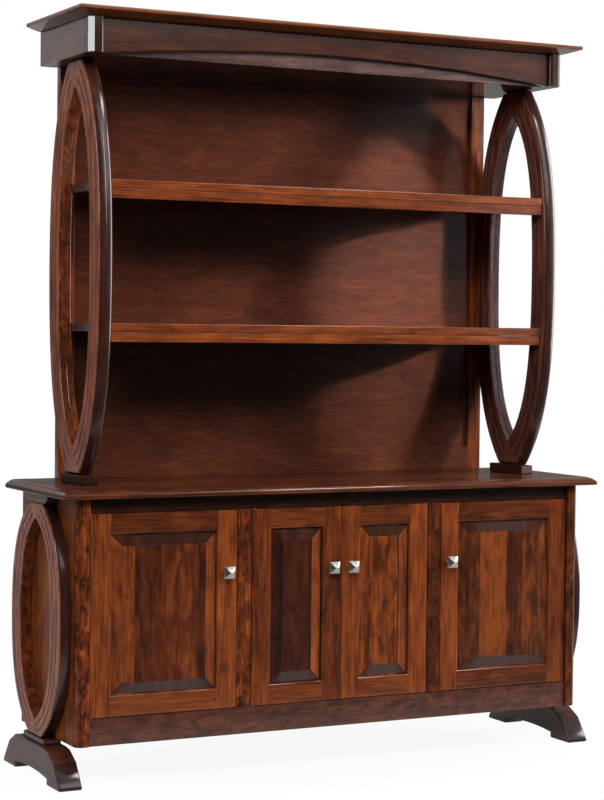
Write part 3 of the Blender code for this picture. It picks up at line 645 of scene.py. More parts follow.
def outer_and_inner(low: Vector, high: Vector, side: int) -> Pair:
    """How far across the outer and the inner face of a box on one side are."""
    return (high.x, low.x) if side > 0 else (low.x, high.x)


def cubic(start: Vector, first: Vector, second: Vector, end: Vector, steps: int) -> list[Vector]:
    """Points along a cubic curve, without its last one.

    Args:
        start: Where it starts.
        first: Its first handle.
        second: Its second handle.
        end: Where it ends.
        steps: Its number of parts.

    Returns:
        The points.
    """
    points = []
    for index in range(steps):
        t = index / steps
        points.append(
            start * (1 - t) ** 3 + first * 3 * t * (1 - t) ** 2 + second * 3 * t * t * (1 - t) + end * t ** 3
        )
    return points


@dataclass
class OvalRing:
    """A pointed oval ring of two layers, with three reeds on each face."""

    kind: str                     # "base" or "hutch"
    word: str
    tip: float                    # solid wood between the hole and each end
    seam: float                   # depth of the fine V where the two layers meet, or 0 if none shows
    round_over: Pair              # at the rim: across its thickness and inward
    half_width: float = 0.189
    end_half_width: float = 0.051
    hole_half_width: float = 0.115
    rim_shares: Triple = (0.50, 0.805, 0.785)
    hole_shares: Triple = (0.50, 0.80, 0.82)
    edge: float = 0.004           # rounding at the hole
    round_steps: int = 7
    groove: Pair = (0.0044, 0.0030)  # width and depth
    groove_shares: Pair = (0.31, 0.645)
    groove_lip: float = 0.0005    # how far the rounded lips of a groove have fallen at its sides
    lip_share: float = 0.7        # where the lips end, as a share of half the groove
    reed_crown: float = 0.0008    # how far a reed's middle stands over its edges
    reed_steps: int = 4
    steps: int = 40
    wall_lean: float = 0.6        # a face whose normal leans across less than this is a rim or hole wall

    @property
    def node_name(self) -> str:
        """The CAD node it stands for."""
        return "%s_oval_%s" % (self.kind, self.word)

    def quarter(self, half_width: float, end: Vector, shares: Triple,
                steps: int) -> list[Vector]:
        """A quarter of an oval, from its side to its end.

        Args:
            half_width: Half the oval's width.
            end: Where the curve ends.
            shares: How high the first handle is, and how far out and high the second.
            steps: Its number of parts.

        Returns:
            The points of the curve, both ends included.
        """
        rise, near_end, near_top = shares
        first = Vector((half_width, end.y * rise))
        second = Vector((half_width * near_end, end.y * near_top))
        return cubic(Vector((half_width, 0.0)), first, second, end, steps) + [end]

    def ring(self, quarter: list[Vector]) -> list[Vector]:
        """A whole oval from its quarter, each point once."""
        ahead = quarter + [Vector((-spot.x, spot.y)) for spot in reversed(quarter[:-1])]
        return ahead + [Vector((spot.x, -spot.y)) for spot in reversed(ahead[1:-1])]

    def columns(self) -> list[Pair]:
        """Shares of the way from hole to rim, each with its depth below the reeds' crowns."""
        width, depth = self.groove
        band = self.half_width - self.hole_half_width
        half = width / 2 / band
        lip = half * self.lip_share
        columns = []
        bounds = (-half, *self.groove_shares, 1.0 + half)
        for before, after in zip(bounds, bounds[1:]):
            if columns:
                columns += [(before, depth), (before + lip, self.reed_crown + self.groove_lip)]
            for step in range(self.reed_steps + 1):
                across = step / self.reed_steps
                start, end = before + half, after - half
                columns.append((start + (end - start) * across, self.reed_crown * (2 * across - 1) ** 2))
            if after < 1.0:
                columns.append((after - lip, self.reed_crown + self.groove_lip))
        reach, inward = self.round_over
        share = inward / band
        columns[-1] = (1.0 - share, self.reed_crown)
        for step in range(1, self.round_steps + 1):
            turn = math.pi / 2 * step / self.round_steps
            columns.append((
                1.0 - share * (1.0 - math.sin(turn)), self.reed_crown + reach * (1.0 - math.cos(turn)),
            ))
        return columns

    def build(self) -> None:
        """Grow one half of the ring from the loop of its hole, then mirror it."""
        low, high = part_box(self.node_name)
        self.middle = (low + high) / 2
        self.half = (high.x - low.x) / 2
        half_height = (high.z - low.z) / 2
        hole_tip = Vector((0.0, half_height - self.tip))
        corner = Vector((self.end_half_width, half_height))
        self.near = self.ring(self.quarter(self.hole_half_width, hole_tip, self.hole_shares, self.steps))
        rim = self.quarter(self.half_width, corner, self.rim_shares, self.steps - 1)
        self.far = self.ring(rim + [Vector((0.0, half_height))])
        self.form = bmesh.new()
        self.order = self.form.verts.layers.int.new("order")
        corners = []
        for index in range(len(self.near)):
            corners.append(self.form.verts.new())
            corners[-1][self.order] = index
        edges = start = [self.form.edges.new(pair) for pair in zip(corners, corners[1:] + corners[:1])]
        columns = self.columns()
        self.place(start, *columns[0])
        for share, drop in columns[1:]:
            edges = self.grow(edges, share, drop)
        self.darken_grooves()
        band = self.half_width - self.hole_half_width
        for loop, share, inward in ((edges, 1.0, -1.0), (start, 0.0, 1.0)):
            wall = self.grow(loop, share, self.half - self.seam)
            if self.seam:
                self.grow(wall, share + inward * self.seam / band, self.half)
        everything = self.form.verts[:] + self.form.edges[:] + self.form.faces[:]
        bmesh.ops.mirror(self.form, geom=everything, merge_dist=SAME, axis="X")
        bmesh.ops.remove_doubles(self.form, verts=self.form.verts, dist=SAME)
        bmesh.ops.recalc_face_normals(self.form, faces=self.form.faces)

    def darken_grooves(self) -> None:
        """Give the grooves their own darker, unglossed finish."""
        limit = self.half - self.reed_crown - self.groove_lip - NEAR
        rounded = self.round_steps * len(self.near)
        for face in self.form.faces[:len(self.form.faces) - rounded]:
            if min(vert.co.x for vert in face.verts) < limit:
                face.material_index = 1

    def grow(self, edges: list[Edge], share: float, drop: float) -> list[Edge]:
        """Draw a loop of edges out to a new place on the ring.

        Args:
            edges: The loop.
            share: The new loop's share of the way from hole to rim.
            drop: How far it lies below the face.

        Returns:
            The new loop.
        """
        grown = bmesh.ops.extrude_edge_only(self.form, edges=edges)["geom"]
        fresh = {piece for piece in grown if isinstance(piece, Vert)}
        touching = {edge for vert in fresh for edge in vert.link_edges}
        loop = [edge for edge in touching if set(edge.verts) <= fresh]
        self.place(loop, share, drop)
        return loop

    def place(self, edges: Iterable[Edge], share: float, drop: float) -> None:
        """Set a loop's place; the reeds fade out at the points of the hole."""
        for vert in {vert for edge in edges for vert in edge.verts}:
            index = vert[self.order]
            from_tip = abs(index % (2 * self.steps) - self.steps)
            fades = share < 1.0 - self.groove_shares[0] and drop <= self.groove[1]
            depth = drop * min(1.0, max(0.0, (from_tip - 1) / 2)) if fades else drop
            spot = self.near[index].lerp(self.far[index], share)
            vert.co = (self.half - depth, spot.x, spot.y)

    def dress(self) -> None:
        """Round the ring's edges, give rim and hole their finishes and hang it in place."""
        spots = {(round(spot.x, 5), round(spot.y, 5)) for spot in self.near}
        Maker.soften(self.form, self.edge, 3, lambda edge: all(
            abs(abs(v.co.x) - self.half) < self.reed_crown + NEAR
            and (round(v.co.y, 5), round(v.co.z, 5)) in spots for v in edge.verts
        ))
        self.form.normal_update()
        for face in self.form.faces:
            middle = face.calc_center_median()
            if abs(face.normal.x) < self.wall_lean or abs(middle.x) < self.seam:
                side = Vector((0.0, face.normal.y, face.normal.z))
                face.material_index = 2 if side.dot(middle) > 0.0 else 3
        bmesh.ops.translate(self.form, verts=self.form.verts, vec=self.middle)
        # Right rings take the copies with painted shade and, in the hole, painted reflection.
        finishes = [RING_WOODS_LIT_AND_SHADED[self.word], GROOVE_WOOD, RIM_WOOD, HOLE_WOODS_LIT_AND_SHADED[self.word]]
        Maker.piece(self.form, self.node_name + "_ring", finishes, [self.node_name])


@dataclass
class TrestleFoot:
    """A foot with sloping toes and a shallow arch under it, a block on it and the oval's cap above."""

    word: str
    pad: float = 0.096
    lip: float = 0.009
    toe: Pair = (0.044, 0.066)    # run and height of the slope
    shoulder: Pair = (0.090, 0.004)  # how far in, and how far below the top
    crest: float = 0.120
    arch: Pair = (0.0155, 0.0235)  # height at its sides and at its middle
    edge: float = 0.005
    steps: int = 12
    block_edge: float = 0.003
    cap_slope: Pair = (0.022, 0.012)
    cap_edge: float = 0.0015

    def outline(self, low: Vector, high: Vector) -> list[Pair]:
        """The side view of the foot.

        Args:
            low: The lowest corner of its box.
            high: The highest corner.

        Returns:
            Its corners, in order.
        """
        middle = (low.y + high.y) / 2
        half = (high.y - low.y) / 2
        front = [
            (half - self.pad, 0.0), (half, 0.0), (half, self.lip), (half - self.toe[0], self.toe[1]),
            (half - self.shoulder[0], high.z - self.shoulder[1]), (half - self.crest, high.z),
        ]
        corners = front + [(-across, up) for across, up in reversed(front)]
        span = half - self.pad
        at_sides, at_middle = self.arch
        for index in range(self.steps + 1):
            across = -span + 2 * span * index / self.steps
            corners.append((across, at_sides + (at_middle - at_sides) * (1 - (across / span) ** 2)))
        return [(middle + across, up) for across, up in corners]

    def build(self) -> None:
        """Build and dress the foot, its block and the cap."""
        name = "foot_" + self.word
        low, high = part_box(name)
        form = Maker.prism(low, high, Way.ACROSS, self.outline(low, high))
        Maker.soften(form, self.edge, 2)
        # The toes, which show end grain, get darker tones: painted shade where little light falls on them
        # from above.
        Maker.mark(form, 1, lambda face: face.normal.z > -0.5 and abs(face.normal.y) > 0.5)
        Maker.piece(form, name + "_shaped", [FOOT_WOOD, TOE_PAINTED_SHADE_WOOD], [name], slot="dark_edge_wood")
        Maker.board("foot_block_" + self.word, FOOT_WOOD, "dark_edge_wood", self.block_edge)
        self.cap()

    def cap(self) -> None:
        """The cap between the base oval and the top, its ends sloping in."""
        name = "oval_cap_" + self.word
        low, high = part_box(name)
        run, rise = self.cap_slope
        Maker.shaped(name, Way.ACROSS, [
            (low.y + run, low.z), (low.y, low.z + rise), (low.y, high.z),
            (high.y, high.z), (high.y, low.z + rise), (high.y - run, low.z),
        ], FOOT_WOOD, self.cap_edge, dark=True)


@dataclass
class MouldedBoard:
    """A board whose front and end edges are moulded: the credenza's top or the crown."""

    node_name: str
    profile: tuple[Pair, ...]     # (inset, height) from the underside up
    finish: StainedCherry

    def build(self) -> None:
        """Grow the board level by level, straight at the back, and dress it."""
        low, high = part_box(self.node_name)
        levels = [(low.z + height, inset) for inset, height in self.profile]
        form = Maker.terraced(low, high, Way.UPRIGHT, ((1, 1, 0), (1, 0, 0)), levels)
        Maker.piece(form, self.node_name + "_moulded", [self.finish], [self.node_name])


@dataclass
class Cabinet:
    """The cabinet's frame, sides, partitions, floor, shelves and back."""

    post_cut: float = 0.012

    def build(self) -> None:
        """Build and dress every board of the cabinet.

        The rails keep their CAD nodes, which have the bores of the doors' pivots.
        """
        for word, side in SIDES:
            # Painted light: the left post and mullion take lighter copies, the right ones the darkest.
            finish = GUM_FLECKED_POST_WOODS_PAINTED_LIGHT["bright" if side < 0 else "deep"]
            Maker.post("front_post_" + word, side, self.post_cut, 0.0, finish)
            Maker.board("side_panel_" + word, SIDE_WOOD)
            Maker.board("mullion_" + word, GUM_FLECKED_POST_WOODS_PAINTED_LIGHT["medium" if side < 0 else "deep"])
            Maker.board("partition_" + word, INSIDE_WOOD, "inside_wood")
            Maker.board("inner_shelf_" + word, INSIDE_LEVEL, "inside_wood")
        Maker.board("cabinet_floor", INSIDE_LEVEL, "inside_wood")
        Maker.board("cabinet_back", INSIDE_WOOD, "inside_wood")
        Maker.paint_node("bottom_rail", RAIL_WOOD)
        # The top rail's tones are darkened with painted shade from the top's overhang.
        Maker.paint_node("top_rail", TOP_RAIL_PAINTED_SHADE_WOOD)


@dataclass
class Door:
    """A frame and raised panel door with a square knob."""

    number: int
    stile: float = 0.057
    rail: float = 0.054
    sticking: float = 0.004       # the rounding of the frame's inner front edge
    edge: float = 0.0008
    tongue: Pair = (0.013, 0.0054)  # the panel's edge in its groove: run and thickness
    bevel: float = 0.028
    cove: Pair = (0.002, 0.0006)  # run and rise where the bevel leaves the tongue
    hollow: Pair = (0.62, 0.0016)  # how far along the bevel, and how far below its top, it bends
    step: Pair = (0.0012, 0.0012)  # run and rise at the panel's field
    stave: float = 0.074
    min_staves: int = 3
    stave_wander: Pair = (0.22, 2.4)  # how far a joint strays, and how fast that turns
    knob_rim: float = 0.004
    knob_peak: float = 0.009
    knob_edge: float = 0.0009
    stem_radius: float = 0.006
    collar: Triple = (0.009, 0.008, 0.002)  # radii and thickness

    @property
    def body(self) -> str:
        """The CAD body the door's pieces ride on."""
        return "door_%d" % self.number

    def build(self) -> None:
        """Build and dress the frame, the panel, the knob and the pivots."""
        self.frame_boards()
        self.panel()
        self.knob()
        for word in ("lower", "upper"):
            Maker.paint_node("%s_pivot_%s" % (self.body, word), STEEL)

    def frame_boards(self) -> None:
        """Stiles with upright grain and rails with level grain, in one joined frame."""
        name = self.body + "_frame"
        low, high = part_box(name)
        left, right = low.x + self.stile, high.x - self.stile
        under, over = low.z + self.rail, high.z - self.rail

        def in_opening(spot: Vector, slack: float = 0.0) -> bool:
            """Whether a spot is within the frame's opening, seen from the front."""
            return left - slack < spot.x < right + slack and under - slack < spot.z < over + slack

        def on_outside(spot: Vector) -> bool:
            """Whether a spot is on the frame's outer edge."""
            return not (low.x + SAME <= spot.x <= high.x - SAME and low.z + SAME <= spot.z <= high.z - SAME)

        form = Maker.cube(low, high)
        Maker.cut(form, Way.ACROSS, (left, right))
        Maker.cut(form, Way.UPRIGHT, (under, over))
        window = [face for face in form.faces
                  if abs(face.normal.y) > 0.9 and in_opening(face.calc_center_median())]
        bmesh.ops.delete(form, geom=window, context="FACES_ONLY")
        bmesh.ops.bridge_loops(form, edges=[edge for edge in form.edges if edge.is_boundary])
        bmesh.ops.recalc_face_normals(form, faces=form.faces)
        Maker.soften(form, self.sticking, 3, lambda edge: all(
            abs(v.co.y - low.y) < SAME and in_opening(v.co, SAME) for v in edge.verts
        ))
        Maker.soften(form, self.edge, 2, lambda edge: all(on_outside(v.co) for v in edge.verts))
        middle = (low + high) / 2
        layer = form.faces.layers.float.new(BOARD_LAYER)
        seeds = [Maker.next_board() for _board in range(4)]
        for face in form.faces:
            spot = face.calc_center_median()
            if left - NEAR < spot.x < right + NEAR and not in_opening(spot, NEAR):
                face.material_index = 1
                face[layer] = seeds[0 if spot.z < middle.z else 1]
            else:
                face[layer] = seeds[2 if spot.x < middle.x else 3]
        # Door 1's stiles take the lighter, painted-light copy.
        stiles = DOOR_ONE_PAINTED_LIGHT_STILE_WOOD if self.number == 1 else UPRIGHT_WOOD
        Maker.piece(form, name + "_boards", [stiles, DOOR_RAIL_WOOD], [name], self.body)

    def panel_levels(self, front: float, back: float) -> list[Pair]:
        """The panel's profile.

        Args:
            front: Where its field is.
            back: Where its back is.

        Returns:
            Each level's place and how far in it is, from the back to the field.
        """
        reach, thickness = self.tongue
        cove_run, cove_rise = self.cove
        hollow_share, hollow_depth = self.hollow
        step_run, step_rise = self.step
        tongue_front = back - thickness
        return [
            (back, 0.0), (tongue_front, 0.0), (tongue_front, reach),
            (tongue_front - cove_rise, reach + cove_run),
            (front + step_rise + hollow_depth, reach + self.bevel * hollow_share),
            (front + step_rise, reach + self.bevel - step_run), (front, reach + self.bevel),
        ]

    def panel(self) -> None:
        """A raised panel of glued staves, with a small step at its field."""
        name = self.body + "_panel"
        low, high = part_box(name)
        form = Maker.terraced(low, high, Way.DEEP, ((1, 0, 1), (1, 0, 1)), self.panel_levels(low.y, high.y))
        count = max(self.min_staves, round((high.x - low.x) / self.stave))
        width = (high.x - low.x) / count
        stray, turn = self.stave_wander
        joints = [
            low.x + width * (index + stray * math.sin(index * turn + self.number))
            for index in range(1, count)
        ]
        Maker.cut(form, Way.ACROSS, joints)
        layer = form.faces.layers.float.new(BOARD_LAYER)
        seeds = [Maker.next_board() for _stave in range(count)]
        for face in form.faces:
            across = face.calc_center_median().x
            face[layer] = seeds[sum(across > joint for joint in joints)]
        # Painted light: the right-facing bevels of doors 1 to 3 are lighter, as if lit from the right.
        if self.number < 4:
            Maker.mark(form, 2, lambda face: 0.05 < face.normal.x < 0.95)
        # The bevels across the grain drink more stain.
        Maker.mark(form, 1, lambda face: 0.05 < abs(face.normal.z) < 0.95)
        finishes = [PANEL_WOODS[self.number - 1], END_WOOD, RIGHT_BEVEL_PAINTED_LIGHT_WOOD]
        Maker.piece(form, name + "_raised", finishes, [name], self.body)

    def knob(self) -> None:
        """A square head with a low pyramid face, on a round stem with a small collar."""
        name = self.body + "_knob"
        low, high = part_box(name)
        middle = (low + high) / 2
        form = bmesh.new()

        def turned(place: float, depth: float, radii: Sequence[float], segments: int, turn: float) -> None:
            """Add a cone or a cylinder that points to the front."""
            spot = Matrix.Translation((middle.x, place, middle.z))
            upright = Matrix.Rotation(math.pi / 2, 4, "X")
            bmesh.ops.create_cone(
                form, cap_ends=True, segments=segments, radius1=radii[0], radius2=radii[1], depth=depth,
                matrix=spot @ upright @ Matrix.Rotation(turn, 4, "Z"),
            )

        back = low.y + self.knob_peak + self.knob_rim
        corner = (high.x - low.x) / 2 * math.sqrt(2)
        turned(back - self.knob_rim / 2, self.knob_rim, (corner, corner), 4, math.pi / 4)
        front = min(form.faces, key=lambda face: face.calc_center_median().y)
        peak = bmesh.ops.poke(form, faces=[front])["verts"][0]
        peak.co.y -= self.knob_peak
        Maker.soften(form, self.knob_edge, 2, lambda edge: peak not in edge.verts)
        turned((back + high.y) / 2, high.y - back, (self.stem_radius, self.stem_radius), 32, 0.0)
        *radii, thickness = self.collar
        turned(high.y - thickness / 2, thickness, radii, 32, 0.0)
        Maker.piece(form, name + "_cast", [NICKEL], [name], self.body, "knob_nickel")


@dataclass
class Hutch:
    """Plinths, framed back and the two shelves."""

    plinth_slant: float = 0.018
    plinth_edge: float = 0.003
    post_edge: float = 0.002
    rail_edge: float = 0.0006
    shelf_edge: float = 0.002
    apron_set: float = 0.0025
    apron_thickness: float = 0.018
    board_thickness: float = 0.022

    def build(self) -> None:
        """Build and dress the hutch's boards."""
        for word, side in SIDES:
            self.plinth(word, side)
            Maker.board("back_post_" + word, UPRIGHT_WOOD, edge=self.post_edge)
        Maker.board("back_rail", BACK_VENEER, edge=self.rail_edge)
        Maker.board("back_panel", BACK_VENEER)
        for word in ("lower", "upper"):
            self.shelf("hutch_shelf_" + word)

    def plinth(self, word: str, side: int) -> None:
        """A low base for an oval, its ends cut at a slant."""
        name = "plinth_" + word
        low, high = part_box(name)
        outer, inner = outer_and_inner(low, high, side)
        slant = self.plinth_slant
        outline = [(inner, low.y), (outer, low.y + slant), (outer, high.y - slant), (inner, high.y)]
        Maker.shaped(name, Way.UPRIGHT, outline, PLINTH_WOOD, self.plinth_edge, 3, dark=True)

    def shelf(self, name: str) -> None:
        """A shelf board with an eased nose, notched round the posts, and its apron."""
        low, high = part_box(name)
        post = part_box("back_post_right")[0]
        notch_x = post.x - GAP
        notch_y = post.y - GAP
        under = high.z - self.board_thickness
        form = Maker.cube((low.x, low.y, under), (high.x, notch_y, high.z))
        Maker.cut(form, Way.ACROSS, (-notch_x, notch_x))
        form.faces.ensure_lookup_table()
        tail = next(face for face in form.faces if face.calc_center_median().y > notch_y - NEAR
                    and abs(face.calc_center_median().x) < notch_x)
        grown = bmesh.ops.extrude_face_region(form, geom=[tail, *tail.edges])["geom"]
        moved = [piece for piece in grown if isinstance(piece, Vert)]
        bmesh.ops.translate(form, verts=moved, vec=(0.0, high.y - notch_y, 0.0))
        Maker.soften(form, self.shelf_edge, 3, lambda edge: all(v.co.y < low.y + NEAR for v in edge.verts))
        self.shelf_piece(form, name + "_board", [name])
        reach = high.x - self.apron_set
        front = low.y + self.apron_set
        apron = Maker.cube((-reach, front, low.z), (reach, front + self.apron_thickness, under - GAP))
        Maker.soften(apron, self.shelf_edge, 2)
        self.shelf_piece(apron, name + "_apron", [])

    def shelf_piece(self, form: Form, name: str, stands_for: list[str]) -> None:
        """Finish a shelf's board or apron, its sawn ends greyed with painted sheen."""
        # Painted reflection: the sawn ends take grey sheen tones.
        Maker.mark(form, 1, lambda face: abs(face.normal.x) > 0.9)
        Maker.piece(form, name, [LEVEL_WOOD, SHELF_END_PAINTED_SHEEN_WOOD], stands_for)


@dataclass
class Cornice:
    """Corner posts, arched and side friezes, soffit and crown."""

    chamfer: float = 0.0145
    inner_chamfer: float = 0.006
    arch_rise: float = 0.039
    arch_steps: int = 48
    frieze_edge: float = 0.002
    soffit: Pair = (0.012, 0.019)  # thickness of the board and of its lip
    soffit_edge: float = 0.0006

    def build(self) -> None:
        """Build and dress the cornice."""
        for word, side in SIDES:
            Maker.post("cornice_post_" + word, side, self.chamfer, self.inner_chamfer, CORNICE_POST_WOOD)
            Maker.board("side_frieze_" + word, SIDE_FRIEZE_PAINTED_SHEEN_WOOD)
        self.frieze()
        self.soffit_board()
        low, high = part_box("cornice_crown")
        rise = high.z - low.z
        MouldedBoard("cornice_crown", (
            (0.0405, 0.0), (0.030, 0.0028), (0.016, 0.0070), (0.003, 0.0112), (0.0008, 0.0122), (0.0, 0.0134),
            (0.0, rise - 0.002), (0.0006, rise - 0.0006), (0.002, rise),
        ), CROWN_WOOD).build()

    def frieze(self) -> None:
        """The front frieze, whose lower edge rises in a shallow arch."""
        low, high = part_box("arched_frieze")
        outline = [(high.x, high.z), (low.x, high.z)]
        for index in range(self.arch_steps + 1):
            across = low.x + (high.x - low.x) * index / self.arch_steps
            outline.append((across, low.z + self.arch_rise * (1 - (across / high.x) ** 2)))
        Maker.shaped("arched_frieze", Way.DEEP, outline, FRIEZE_WOOD, self.frieze_edge, 3)

    def soffit_board(self) -> None:
        """The board over the top bay, with a lip up behind the frieze."""
        low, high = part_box("cornice_soffit")
        thickness, lip = self.soffit
        Maker.shaped("cornice_soffit", Way.ACROSS, [
            (low.y, low.z), (high.y, low.z), (high.y, low.z + thickness), (low.y + lip, low.z + thickness),
            (low.y + lip, high.z), (low.y, high.z),
        ], SOFFIT_PAINTED_SHEEN_WOOD, self.soffit_edge)


@dataclass(frozen=True)
class Softbox:
    """A soft studio light."""

    name: str
    place: Triple
    aim: Triple
    size: Pair
    power: float
    mirrored: bool                # seen in the lacquer only, or else lighting only
    spread: float = 180.0         # how wide it throws its light
    tint: Triple = (1.0, 1.0, 1.0)


SOFTBOXES = (
    Softbox("key_softbox", (0.7, -3.6, 3.7), (0.0, 0.0, 0.8), (2.2, 1.6), 95.0, False),
    Softbox("left_softbox", (-2.3, -3.1, 3.4), (0.0, 0.0, 0.8), (2.0, 1.6), 140.0, False),
    Softbox("side_softbox", (4.0, -1.75, 2.3), (0.0, 0.0, 1.2), (0.5, 0.6), 190.0, False),
)
# Three narrow lights through the right ring throw a cool patch on each bay of the back.
ACCENTS = tuple(
    Softbox(
        word + "_accent", (3.9, -1.6, 2.25), (x, 0.2, z), (0.3, 0.3), power, False, spread,
        (0.92, 0.94, 1.08),
    )
    for word, x, z, power, spread in (
        ("middle", 0.42, 1.32, 1.9, 8.0), ("upper", 0.48, 1.72, 0.9, 7.0), ("lower", 0.52, 1.0, 0.6, 7.0),
    )
)
SCREENS = (
    Softbox("right_screen", (3.25, -2.45, 2.3), (0.0, 0.0, 1.2), (2.8, 2.4), 12.0, True),
    Softbox("front_screen", (1.5, -3.6, 4.0), (0.0, 0.0, 1.2), (2.4, 3.0), 48.0, True),
    Softbox("left_screen", (-4.14, -1.55, 2.75), (-0.8, -0.2, 2.2), (1.5, 1.6), 110.0, True),
    Softbox("side_screen", (4.2, -1.3, 2.2), (-0.7, -0.15, 1.4), (1.6, 3.4), 200.0, True),
    Softbox("rear_screen", (-1.6, 3.2, 2.9), (-0.5, 0.0, 1.6), (2.4, 1.4), 3.5, True),
    Softbox("top_strip", (1.3, -0.65, 3.6), (0.1, -0.2, 0.3), (2.0, 0.5), 50.0, True),
)


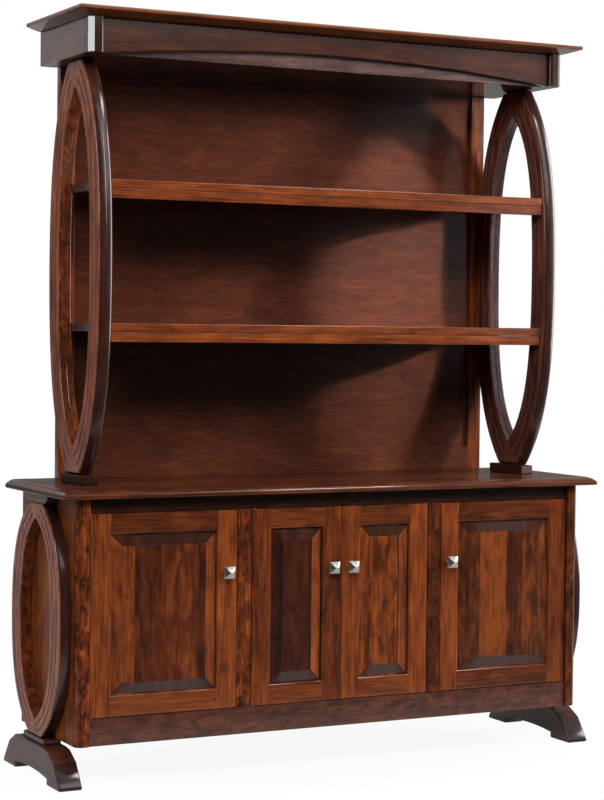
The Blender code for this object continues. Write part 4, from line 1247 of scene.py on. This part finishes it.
@dataclass
class Studio:
    """White floor and world, soft lights and the camera."""

    spot: Triple = (-2.6714, -5.1809, 1.1880)
    yaw: float = 27.055
    pitch: float = 1.828
    roll: float = 0.618
    lens: float = 93.39
    sensor: float = 36.0
    shift_y: float = -0.0035
    front_level: float = 0.05     # how bright the room is in front, as a light
    back_level: float = 0.5
    mirrored_level: float = 0.16  # how bright the background behind is in a reflection
    raised_level: float = 0.3     # added to that above eye level
    right_level: float = 1.0      # the same on the right
    top_level: float = 0.5
    floor_mirrored: float = 0.45  # how bright the floor is in a reflection
    floor_radius: float = 14.0
    floor_drop: float = 0.0005
    floor_greys: Pair = (0.05, 0.50)  # in front, and under the piece and behind it
    floor_turns: Pair = (-1.3, -0.5)  # where one grey turns to the other
    shadow_scale: Triple = (0.75, 1.4, 1.0)
    shadow_fades: Pair = (0.35, 0.8)  # where the piece's shadow starts to fade and is gone
    shadow_white: float = 0.92    # how much of the floor is plain white even in the shadow

    def build(self) -> None:
        """Set up the whole studio."""
        scene = bpy.context.scene
        scene.view_settings.view_transform = "Standard"
        self.camera(scene)
        self.world(scene)
        self.floor()
        for light in SOFTBOXES + ACCENTS + SCREENS:
            self.light(light)

    def camera(self, scene: bpy.types.Scene) -> None:
        """Place the camera as in the photograph."""
        yaw, pitch, roll = (math.radians(angle) for angle in (self.yaw, self.pitch, self.roll))
        ahead = Vector((math.sin(yaw) * math.cos(pitch), math.cos(yaw) * math.cos(pitch), -math.sin(pitch)))
        right = Vector((math.cos(yaw), -math.sin(yaw), 0.0))
        up = right.cross(ahead)
        level = math.cos(roll) * right + math.sin(roll) * up
        upright = math.cos(roll) * up - math.sin(roll) * right
        lens = bpy.data.cameras.new("camera")
        lens.lens = self.lens
        lens.sensor_width = self.sensor
        lens.shift_y = self.shift_y
        eye = bpy.data.objects.new("camera", lens)
        turn = Matrix((level, upright, -ahead)).transposed().to_4x4()
        eye.matrix_world = Matrix.Translation(Vector(self.spot)) @ turn
        scene.collection.objects.link(eye)
        scene.camera = eye

    def world(self, scene: bpy.types.Scene) -> None:
        """White where it is seen, and as a light bright behind the piece and dark before it."""
        world = bpy.data.worlds.new("studio")
        world.use_nodes = True
        tree = world.node_tree
        path = node(tree, "LightPath")
        seen = node(tree, "Math", {
            0: path.outputs["Is Camera Ray"], 1: path.outputs["Is Transmission Ray"],
        }, operation="MAXIMUM").outputs[0]
        way = node(tree, "SeparateXYZ", {0: node(tree, "TexCoord").outputs["Generated"]})
        behind, above, raised, right = (
            node(tree, "MapRange", {
                "Value": way.outputs[axis], "From Min": start, "From Max": end, "To Max": most,
            }, interpolation_type="SMOOTHSTEP").outputs[0]
            for axis, start, end, most in (
                ("Y", -0.2, 0.5, 1.0), ("Z", 0.65, 0.95, self.top_level), ("Z", 0.06, 0.3, self.raised_level),
                ("X", 0.60, 0.85, self.right_level),
            )
        )
        mirrored = node(tree, "Math", {0: raised, 1: self.mirrored_level}).outputs[0]
        mirrored = node(tree, "Math", {0: mirrored, 1: right}, operation="MAXIMUM").outputs[0]
        white = node(tree, "Mix", {
            "Factor": path.outputs["Is Glossy Ray"], 2: self.back_level, 3: mirrored,
        }, data_type="FLOAT").outputs[0]
        level = node(tree, "Mix", {
            "Factor": behind, 2: self.front_level, 3: white,
        }, data_type="FLOAT").outputs[0]
        level = node(tree, "Math", {0: level, 1: above}, operation="MAXIMUM").outputs[0]
        strength = node(tree, "Mix", {"Factor": seen, 2: level, 3: 1.0}, data_type="FLOAT").outputs[0]
        feed(tree, tree.nodes["Background"], {"Color": WHITE, "Strength": strength})
        scene.world = world

    def floor(self) -> None:
        """A round pale floor that melts into the white behind it."""
        form = bmesh.new()
        bmesh.ops.create_circle(form, cap_ends=True, segments=96, radius=self.floor_radius)
        mesh = bpy.data.meshes.new("studio_floor")
        form.to_mesh(mesh)
        form.free()
        thing = bpy.data.objects.new("studio_floor", mesh)
        thing.location.z = -self.floor_drop
        bpy.context.scene.collection.objects.link(thing)
        mesh.materials.append(self.paper())

    def paper(self) -> bpy.types.Material:
        """The floor's matt paper, plain white to the camera but for the piece's shadow.

        Returns:
            The material.
        """
        skin = bpy.data.materials.new("paper_backdrop_matt_white")
        skin.use_nodes = True
        tree = skin.node_tree
        shader = tree.nodes["Principled BSDF"]
        place = node(tree, "TexCoord").outputs["Object"]
        ahead = node(tree, "SeparateXYZ", {0: place}).outputs["Y"]
        start, end = self.floor_turns
        lit = node(tree, "MapRange", {
            "Value": ahead, "From Min": start, "From Max": end,
        }, interpolation_type="SMOOTHSTEP").outputs[0]
        dark, pale = ((grey, grey, grey, 1.0) for grey in self.floor_greys)
        paper = node(tree, "Mix", {"Factor": lit, 6: dark, 7: pale}, data_type="RGBA").outputs[2]
        feed(tree, shader, {"Base Color": paper, "Roughness": 0.9, "Specular IOR Level": 0.0})
        flat = node(tree, "Mapping", {"Vector": place, "Scale": self.shadow_scale}).outputs[0]
        distance = node(tree, "VectorMath", {0: flat}, operation="LENGTH").outputs["Value"]
        start, end = self.shadow_fades
        far = node(tree, "MapRange", {
            "Value": distance, "From Min": start, "From Max": end, "To Min": self.shadow_white,
        }, interpolation_type="SMOOTHSTEP").outputs[0]
        path = node(tree, "LightPath")
        mirrored = path.outputs["Is Glossy Ray"]
        for share in (lit, self.floor_mirrored):
            mirrored = node(tree, "Math", {0: mirrored, 1: share}, operation="MULTIPLY").outputs[0]
        seen = node(tree, "Math", {
            0: path.outputs["Is Camera Ray"], 1: mirrored,
        }, operation="MAXIMUM").outputs[0]
        share = node(tree, "Math", {0: far, 1: seen}, operation="MULTIPLY").outputs[0]
        white = node(tree, "Emission", {"Color": WHITE, "Strength": 1.0}).outputs[0]
        mix = node(tree, "MixShader", {0: share, 1: shader.outputs[0], 2: white}).outputs[0]
        feed(tree, tree.nodes["Material Output"], {"Surface": mix})
        return skin

    def light(self, light: Softbox) -> None:
        """Hang one soft light."""
        lamp = bpy.data.lights.new(light.name, "AREA")
        lamp.shape = "RECTANGLE"
        lamp.size, lamp.size_y = light.size
        lamp.energy = light.power
        lamp.spread = math.radians(light.spread)
        lamp.color = light.tint
        thing = bpy.data.objects.new(light.name, lamp)
        thing.visible_glossy = light.mirrored
        thing.visible_diffuse = not light.mirrored
        place = Vector(light.place)
        turn = (Vector(light.aim) - place).to_track_quat("-Z", "Y").to_matrix().to_4x4()
        thing.matrix_world = Matrix.Translation(place) @ turn
        bpy.context.scene.collection.objects.link(thing)


def main() -> None:
    """Build the piece, then the studio."""
    logging.basicConfig(level=logging.INFO, format="%(message)s")
    for word, _side in SIDES:
        TrestleFoot(word).build()
        for kind, tip, seam, round_over in (
            ("base", 0.042, 0.0, (0.008, 0.004)), ("hutch", 0.0725, 0.0012, (0.0165, 0.006)),
        ):
            ring = OvalRing(kind, word, tip, seam, round_over)
            ring.build()
            ring.dress()
    MouldedBoard("credenza_top", (
        (0.0015, 0.0), (0.0, 0.0015), (0.0, 0.0092), (0.0012, 0.0110), (0.0060, 0.0150), (0.0130, 0.0196),
        (0.0200, 0.0222), (0.0250, 0.0230),
    ), TOP_WOOD).build()
    Cabinet().build()
    for number in (1, 2, 3, 4):
        Door(number).build()
    Hutch().build()
    Cornice().build()
    Studio().build()


if __name__ == "__main__":
    main()
